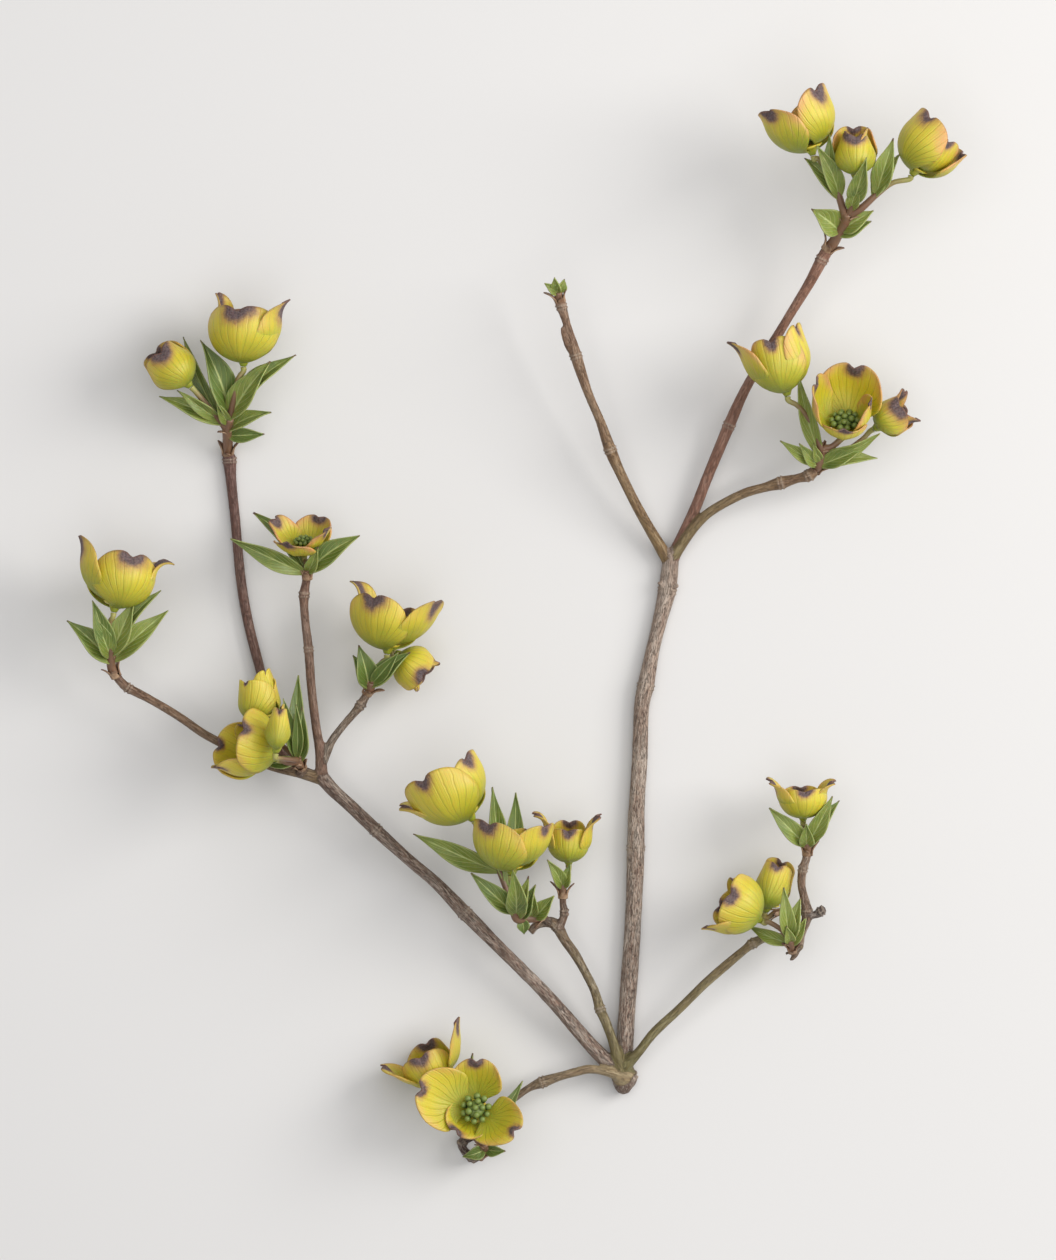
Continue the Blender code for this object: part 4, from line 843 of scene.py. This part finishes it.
def bract(bloom, index, rng):
    """A thin bract curving up from the receptacle, with two rounded lobes and a puckered notch at its tip."""
    shoulder, bracts = BLOOMS[bloom][4:]
    turn, length, half_width, steep, bend = bracts[index]
    nested = NEST * (index % 2)
    foot, side, front, axis = cup_frame(bloom)
    swing = math.radians(turn)
    out = front * math.cos(swing) + side * math.sin(swing)
    across = side * math.cos(swing) - front * math.sin(swing)
    rows = bract_profile(length, steep, bend, shoulder)
    phase, lean, skew = rng.uniform(0, 6.28), rng.uniform(-0.06, 0.06), rng.uniform(0.7, 1.2)
    notch_width, notch_depth, corner_round = 0.15, 0.06, 0.17
    foot_width, widest, narrow_from, narrowing = 0.08, 0.68, 0.62, 0.16
    fold_depth, fold_width, ripple_height, pinch_height = 0.35, 0.12, 0.45, 1.1
    bm, layers = sheet_grid(BRACT_FACES, ("across", "along", "tone", "blush", "burnt"))
    tone = rng.uniform(-0.25, 0.25)
    burnt = rng.uniform(*BURNT.get(bloom, BURNT[bloom[0]]))
    for vert in bm.verts:
        u, v = vert.co.x, (vert.co.y + 1) / 2
        notch = math.exp(-((u - lean) / notch_width) ** 2)
        reach = v * (1 - notch_depth * notch * v ** 3 - corner_round * abs(u) ** 3 * v)
        spot = reach * (len(rows) - 1)
        i = min(int(spot), len(rows) - 2)
        radius, height, angle = (a + (b - a) * (spot - i) for a, b in zip(rows[i], rows[i + 1]))
        swell = math.sin(math.pi / 2 * min(1.0, v / widest)) ** 1.7
        narrow = 1 - narrowing * max(0.0, (v - narrow_from) / (1 - narrow_from)) ** 2
        wide = u * half_width * (foot_width + (1 - foot_width) * swell) * narrow
        fold = -fold_depth * math.exp(-(u / fold_width) ** 2) * math.sin(math.pi * min(1.0, v * 1.05)) ** 2
        ripple = ripple_height * skew * v ** 3 * math.sin(4.6 * u + phase) * (0.3 + abs(u))
        pinch = pinch_height * notch * smoothstep(0.82, 1.0, v)
        inward = nested + fold + ripple + pinch
        around = wide / radius
        ring = radius - inward * math.sin(angle)
        vert.co = (foot + across * (ring * math.sin(around)) + out * (ring * math.cos(around))
                   + axis * (height + inward * math.cos(angle)))
        vert[layers["across"]] = u
        vert[layers["along"]] = v
        vert[layers["tone"]] = tone
        vert[layers["blush"]] = BLUSH[bloom[0]]
        vert[layers["burnt"]] = burnt
    return thickened(f"bract_{bloom}_{index}", bm, BRACT_THICKNESS, (bract_outer, bract_inner))


def turned(name, bloom, profile, sides, middle=(0, 0), tilt=0, towards=0):
    """A round body about an axis of a bloom, from (radius, height) rows, leaning outwards if asked."""
    foot, side, front, axis = cup_frame(bloom)
    bm = bmesh.new()
    along = bm.verts.layers.float.new("along")
    low, high = profile[0][1], profile[-1][1]
    row = [bm.verts.new((radius, 0, height)) for radius, height in profile]
    for vert, (radius, height) in zip(row, profile):
        vert[along] = (height - low) / (high - low)
    edges = [bm.edges.new(pair) for pair in zip(row, row[1:])]
    bmesh.ops.spin(bm, geom=row + edges, cent=(0, 0, 0), axis=(0, 0, 1), angle=math.tau, steps=sides,
                   use_merge=True)
    bmesh.ops.remove_doubles(bm, verts=bm.verts, dist=1e-4)
    leaning = Matrix.Rotation(math.radians(tilt), 3, Vector((-math.cos(towards), math.sin(towards), 0)))
    for vert in bm.verts:
        p = leaning @ vert.co + Vector((*middle, 0))
        vert.co = (foot + side * p.x + front * p.y + axis * p.z) * MM
    bmesh.ops.recalc_face_normals(bm, faces=bm.faces)
    return new_object(name, bm)


def make_bracts(bloom):
    """The receptacle, with a brim that closes the cup between the bract feet, and the four bracts."""
    rng = random.Random("bracts " + bloom)
    has_head = BLOOMS[bloom][3] > 0
    top = RECEPTACLE_ABOVE if has_head else BARE_RECEPTACLE_ABOVE
    profile = RECEPTACLE_FOOT + (BRIM if has_head else []) + [(2.0, top - 0.5), (1.6, top), (0, top)]
    pieces = [turned("receptacle", bloom, profile, 24)]
    pieces += [bract(bloom, i, rng) for i in range(len(BLOOMS[bloom][5]))]
    whole = joined(f"bracts_{bloom}", pieces, [bract_outer, bract_inner])
    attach(whole, "root")
    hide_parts(f"bloom_{bloom}_bracts")


def make_head(bloom):
    """The button of closed florets: one in the middle, a ring of five and a ring of ten round a dome."""
    size = BLOOMS[bloom][3]
    axis = cup_frame(bloom)[3]
    rng = random.Random("head " + bloom)
    dome = [(0, HEAD_LIFT), (DOME_FOOT_RADIUS, HEAD_LIFT)]
    dome += [(radius * size, HEAD_LIFT + height * size) for radius, height in DOME]
    pieces = [turned("dome", bloom, dome, 20)]
    for count, shift, reach, lift, tilt in FLORET_RINGS:
        for i in range(count):
            turn = math.tau * (i + shift) / count + rng.uniform(-0.1, 0.1)
            grow = FLORET_SIZE * size * rng.uniform(0.88, 1.08)
            profile = [(radius * grow, height * grow) for radius, height in FLORET]
            spot = (reach * size * math.sin(turn), reach * size * math.cos(turn))
            floret = turned("floret", bloom, profile, 12, spot, tilt, turn)
            floret.data.transform(Matrix.Translation(axis * (HEAD_LIFT + lift * size) * MM))
            pieces.append(floret)
    whole = joined(f"head_{bloom}", pieces, [floret_mat])
    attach(whole, "root")
    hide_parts(f"bloom_{bloom}_head")


def tube(name, rows, resolution, steps, share=1.0):
    """A round stem along the rows; each vertex keeps how far along the stem it lies, times the share."""
    line = bpy.data.curves.new(name, "CURVE")
    line.dimensions = "3D"
    line.bevel_depth = MM
    line.bevel_resolution = resolution
    line.use_fill_caps = True
    dense = smooth_row(rows, steps)
    spline = line.splines.new("POLY")
    spline.points.add(len(dense) - 1)
    for point, (x, y, z, radius) in zip(spline.points, dense):
        point.co = (x * MM, y * MM, z * MM, 1)
        point.radius = radius
    stem = bpy.data.objects.new(name, line)
    bpy.context.scene.collection.objects.link(stem)
    made = applied(stem)
    bm = bmesh.new()
    bm.from_mesh(made.data)
    bmesh.ops.remove_doubles(bm, verts=bm.verts, dist=1e-6)
    bmesh.ops.recalc_face_normals(bm, faces=bm.faces)
    along = bm.verts.layers.float.new("along")
    places = tree_of([Vector(row[:3]) for row in dense])
    for vert in bm.verts:
        vert[along] = share * places.find(vert.co)[1] / (len(dense) - 1)
    bm.to_mesh(made.data)
    bm.free()
    return made


def nearest_on(stems, place):
    """The place on the middle line of any stem that is nearest to the given one."""
    best = None
    for rows in stems:
        for start, end in zip(rows, rows[1:]):
            start, end = Vector(start[:3]), Vector(end[:3])
            share = (place - start).dot(end - start) / (end - start).length_squared
            spot = start.lerp(end, min(1.0, max(0.0, share)))
            if best is None or (spot - place).length < (best - place).length:
                best = spot
    return best


def leaf(shoot, index, stems, rng):
    """A pointed blade folded along its middle, arched between its foot on a stem and its point."""
    foot, point, width, roll = LEAVES[shoot][index]
    foot, point = nearest_on(stems, Vector(foot)), Vector(point)
    along = point - foot
    length = along.length
    along.normalize()
    across = along.cross(Vector((0, 0, 1))).normalized()
    normal = across.cross(along)
    lean = math.radians(roll)
    across, normal = (across * math.cos(lean) + normal * math.sin(lean),
                      normal * math.cos(lean) - across * math.sin(lean))
    phase, wave, sway = rng.uniform(0, 6.28), rng.uniform(0.02, 0.05), rng.uniform(-0.04, 0.04)
    arch, half_fold, edge_wave = 0.10, 0.45, 0.5
    vein_height, vein_turns, vein_slant = 0.05, 24, 0.34
    bm, layers = sheet_grid(LEAF_FACES, ("across", "along", "tone", "burnt"))
    tone, burnt = rng.uniform(-0.2, 0.2) + LEAF_TONE[shoot], rng.choice((0.2, 0.6, 1.0))
    for vert in bm.verts:
        u, v = vert.co.x, (vert.co.y + 1) / 2
        half = width * (0.53 - 0.1 * v) * math.sin(math.pi * v ** 0.82) ** 1.15 + 0.4 * (1 - v) + 0.1
        rise = half_fold * abs(u) ** 1.25 * half + arch * length * math.sin(math.pi * v)
        rise += wave * length * edge_wave * abs(u) * math.sin(9 * v + phase + (1.3 if u > 0 else 0))
        veins = math.sin((v - vein_slant * abs(u)) * vein_turns + tone * 3) * vein_height * min(1.0, half / 2)
        sideways = u * half * 0.95 + sway * length * math.sin(math.pi * v)
        vert.co = foot + along * length * v + across * sideways + normal * (rise + veins)
        vert[layers["across"]] = u
        vert[layers["along"]] = v
        vert[layers["tone"]] = tone
        vert[layers["burnt"]] = burnt
    return thickened(f"leaf_{shoot}_{index}", bm, LEAF_THICKNESS, (leaf_top, leaf_under))


def bud_scale(name, rows, index, size, rng):
    """A dry pointed scale hugging the foot of a stem, its tip bent outwards."""
    start = Vector(rows[0][:3])
    heading = (Vector(rows[2][:3]) - start).normalized()
    side = heading.cross(Vector((0, 0, 1))).normalized()
    up = side.cross(heading)
    turn = math.radians(90 * index + rng.uniform(-15, 15))
    length = (SHORT_SCALE if index % 2 else LONG_SCALE) * rng.uniform(0.8, 1.15) * size
    flare, inner = rng.uniform(0.25, 0.5), rows[0][3] + 0.2 - 0.1 * (index % 2)
    bm, layers = sheet_grid(SCALE_FACES, ("along",))
    for vert in bm.verts:
        u, v = vert.co.x, (vert.co.y + 1) / 2
        swing = turn + u * 0.85 * (1 - v ** 1.8) + 0.02 * u
        out = inner + flare * length * v ** 2.6
        vert.co = start + heading * (length * v - 0.9) + (side * math.cos(swing) + up * math.sin(swing)) * out
        vert[layers["along"]] = v
    return slotted(thickened(name, bm, SCALE_THICKNESS, ()), SCALE_SLOT)


def stem_rows(name):
    """The stems of a shoot with their bloom, each from its root to its end."""
    twig, stems = SHOOTS[name]
    last, before = TWIGS[twig][-1], TWIGS[twig][-2]
    end = Vector(last[:3])
    heading = (end - Vector(before[:3])).normalized()
    start = end + heading * GAP
    out = []
    for i, (bloom, rows) in enumerate(stems):
        rows = list(rows)
        if i == 0:
            first = rows[0][3]
            rows = [(*start, first), (*(start + heading * 0.5), first)] + rows
        if bloom:
            foot, side, front, axis = cup_frame(bloom)
            top = foot - axis * (RECEPTACLE_BELOW + GAP)
            rows += [(*(top - axis * STALK_END), STALK_RADIUS), (*top, STALK_END_RADIUS)]
        out.append((bloom, rows))
    return out


def make_shoot(name):
    """A shoot: its main stem and stalks, the dry scales at their feet, and its leaves."""
    rng = random.Random("shoot " + name)
    stems = stem_rows(name)
    pieces = []
    for i, (bloom, rows) in enumerate(stems):
        stem = tube(f"stem_{name}_{i}", rows, 4, 5, 1.0 if bloom else MAIN_STEM_SHARE)
        pieces.append(slotted(stem, STEM_SLOT))
    for i, (bloom, rows) in enumerate(stems):
        turns, size = ((0, 2), STALK_SCALE_SIZE) if i else (range(4), 1.0)
        for turn in turns:
            pieces.append(bud_scale(f"scale_{name}_{i}_{turn}", rows, turn, size, rng))
    lines = [rows for bloom, rows in stems]
    pieces += [leaf(name, i, lines, rng) for i in range(len(LEAVES[name]))]
    whole = joined(f"shoot_pieces_{name}", pieces, [leaf_top, leaf_under, stem_mat, scale_mat])
    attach(whole, "root")
    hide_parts(f"shoot_{name}")


def runs_along(dense):
    """The distance from the foot of a smooth row to each of its places."""
    runs = [0.0]
    for a, b in zip(dense, dense[1:]):
        runs.append(runs[-1] + (Vector(b[:3]) - Vector(a[:3])).length)
    return runs


def node_runs(rows, dense, runs):
    """How far along a twig each of its swollen nodes lies."""
    found = []
    for before, here, after in zip(rows, rows[1:], rows[2:]):
        if here[3] > before[3] and here[3] > after[3]:
            spot = Vector(here[:3])
            found.append(min(zip(dense, runs), key=lambda pair: (Vector(pair[0][:3]) - spot).length)[1])
    return found


def node_ring(offset):
    """The raised scar ring of a twig's node: two ridges with a groove between them."""
    return (math.exp(-((offset - 0.55) / 0.38) ** 2) + 0.8 * math.exp(-((offset + 0.55) / 0.38) ** 2)
            - 0.5 * math.exp(-(offset / 0.3) ** 2))


def twig_samples(number, name, dense, runs):
    """Places along a twig, each with direction, radius, run, bark colour, age and the twig's number."""
    foot_colour, tip_colour, foot_age, tip_age = BARK[name]
    out = []
    for i, (row, run) in enumerate(zip(dense, runs)):
        ahead = Vector(dense[min(i + 1, len(dense) - 1)][:3])
        behind = Vector(dense[max(i - 1, 0)][:3])
        share = run / runs[-1]
        colour = [a + (b - a) * share for a, b in zip(foot_colour, tip_colour)]
        age = foot_age + (tip_age - foot_age) * share
        out.append((Vector(row[:3]), (ahead - behind).normalized(), row[3], run, colour, age, number))
    return out


def map_bark(bm, samples, nodes):
    """Gives each vertex its place on the bark, and returns age, scar height and bark place of each."""
    names = ("length", "round_x", "round_y", "age", "ring")
    layers = {key: bm.verts.layers.float.new(key) for key in names}
    tint = bm.verts.layers.float_color.new("bark_colour")
    places = tree_of([sample[0] for sample in samples])
    unlike_any_twig = Vector((0.13, 0.21, 0.97))
    apart = 37
    grooves = {}
    for vert in bm.verts:
        near = places.find_n(vert.co, 4)
        best = min(near, key=lambda hit: hit[2] / MM - samples[hit[1]][2])
        here, along, radius, run, colour, age, number = samples[best[1]]
        side = along.cross(unlike_any_twig).normalized()
        up = side.cross(along)
        away = vert.co / MM - here
        x, y = away.dot(side), away.dot(up)
        run += away.dot(along)
        ring = max((node_ring(run - spot) for spot in nodes[number]), default=0.0)
        vert[layers["length"]] = run + apart * number
        vert[layers["round_x"]] = x
        vert[layers["round_y"]] = y
        vert[layers["age"]] = age
        vert[layers["ring"]] = max(0.0, ring)
        vert[tint] = (*colour, 1)
        grooves[vert] = (age, ring, Vector((x * 1.2, y * 1.2, vert[layers["length"]] * 0.11)))
    return grooves


def roughen_bark(grooves):
    """Raises furrows, knobs and node rings on the bark, and keeps its underside on the surface."""
    furrow_depth, knob_height, ring_height = 0.12, 0.12, 0.45
    for vert, (age, ring, spot) in grooves.items():
        rough = noise.fractal(spot * 1.1, 1.0, 2.0, 4)
        knobs = noise.noise(spot * 0.5 + Vector((7, 3, 1)))
        lift = rough * furrow_depth * (0.25 + age) + knobs * knob_height + ring * ring_height
        vert.co += vert.normal * lift * MM
        vert.co.z = max(vert.co.z, 0.0)


def grown_wood():
    """The round twigs and their side buds, merged into one solid and smoothed."""
    tubes = [tube("wood_" + name, rows, 4, 6) for name, rows in (TWIGS | SIDE_BUDS).items()]
    wood = joined("wood", tubes, [bark])
    shell = wood.modifiers.new("grown together", "REMESH")
    shell.mode = "VOXEL"
    shell.voxel_size = BARK_VOXEL * MM
    soft = wood.modifiers.new("soft", "SMOOTH")
    soft.factor = 0.5
    soft.iterations = 4
    return applied(wood)


def make_wood():
    """The grown-together wood, with its bark mapped along each twig."""
    wood = grown_wood()
    samples, nodes = [], []
    for number, (name, rows) in enumerate(TWIGS.items()):
        dense = smooth_row(rows, 10)
        runs = runs_along(dense)
        nodes.append(node_runs(rows, dense, runs))
        samples += twig_samples(number, name, dense, runs)
    bm = bmesh.new()
    bm.from_mesh(wood.data)
    roughen_bark(map_bark(bm, samples, nodes))
    bm.to_mesh(wood.data)
    bm.free()
    for face in wood.data.polygons:
        face.use_smooth = True
    wood.data.materials.clear()
    wood.data.materials.append(bark)
    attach(wood, "root")
    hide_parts("branch_wood")


def make_stage():
    """The pale surface that the branch lies on."""
    bm = bmesh.new()
    bmesh.ops.create_grid(bm, x_segments=1, y_segments=1, size=3.0)
    floor = new_object("floor", bm)
    floor.data.materials.append(floor_paint())


def soft_light(name, place, target, size, power, colour):
    """A square light at a place, looking at the target."""
    light = bpy.data.lights.new(name, "AREA")
    light.shape = "SQUARE"
    light.size = size
    light.energy = power
    light.color = colour
    lamp = bpy.data.objects.new(name, light)
    bpy.context.scene.collection.objects.link(lamp)
    lamp.location = place
    lamp.rotation_euler = (Vector(target) - Vector(place)).to_track_quat("-Z", "Y").to_euler()


def make_light():
    """Soft light from a window on the right, from the ceiling and from the room."""
    middle = (PICTURE_CENTRE[0] * MM, PICTURE_CENTRE[1] * MM, 0)
    soft_light("window", place=(1.4, 0.65, 1.0), target=middle, size=1.05, power=27,
               colour=(1.0, 0.985, 0.965))
    soft_light("ceiling", place=(0.2, 0.3, 1.9), target=middle, size=2.4, power=25,
               colour=(1.0, 0.99, 0.985))
    world = bpy.data.worlds.new("room")
    bpy.context.scene.world = world
    world.use_nodes = True
    sky = world.node_tree.nodes["Background"]
    sky.inputs["Color"].default_value = (0.95, 0.96, 1.0, 1)
    sky.inputs["Strength"].default_value = 0.42


def make_camera():
    """A camera straight above the middle of the picture, its lens chosen for the picture's height."""
    camera = bpy.data.cameras.new("above")
    camera.sensor_width = SENSOR
    camera.lens = SENSOR * CAMERA_HEIGHT / PICTURE_HEIGHT
    camera.clip_end = 20
    eye = bpy.data.objects.new("above", camera)
    bpy.context.scene.collection.objects.link(eye)
    eye.location = (PICTURE_CENTRE[0] * MM, PICTURE_CENTRE[1] * MM, CAMERA_HEIGHT * MM)
    bpy.context.scene.camera = eye


bract_outer = bract_paint("bract_outside", young=(0.26, 0.30, 0.018), ripe=(0.57, 0.47, 0.022))
bract_inner = bract_paint("bract_inside", young=(0.33, 0.33, 0.012), ripe=(0.54, 0.45, 0.014))
leaf_top = leaf_paint("leaf_upper_side", dark=(0.100, 0.150, 0.020), light=(0.215, 0.26, 0.04),
                      vein=(0.41, 0.46, 0.16), raised=False)
leaf_under = leaf_paint("leaf_underside", dark=(0.24, 0.27, 0.11), light=(0.34, 0.37, 0.17),
                        vein=(0.50, 0.52, 0.30), raised=True)
stem_mat = stem_paint()
scale_mat = scale_paint()
floret_mat = floret_paint()
bark = bark_paint()

make_stage()
make_wood()
for shoot in SHOOTS:
    make_shoot(shoot)
for bloom in BLOOMS:
    make_bracts(bloom)
    if BLOOMS[bloom][3]:
        make_head(bloom)
make_light()
make_camera()
bpy.context.scene.view_settings.view_transform = "Standard"
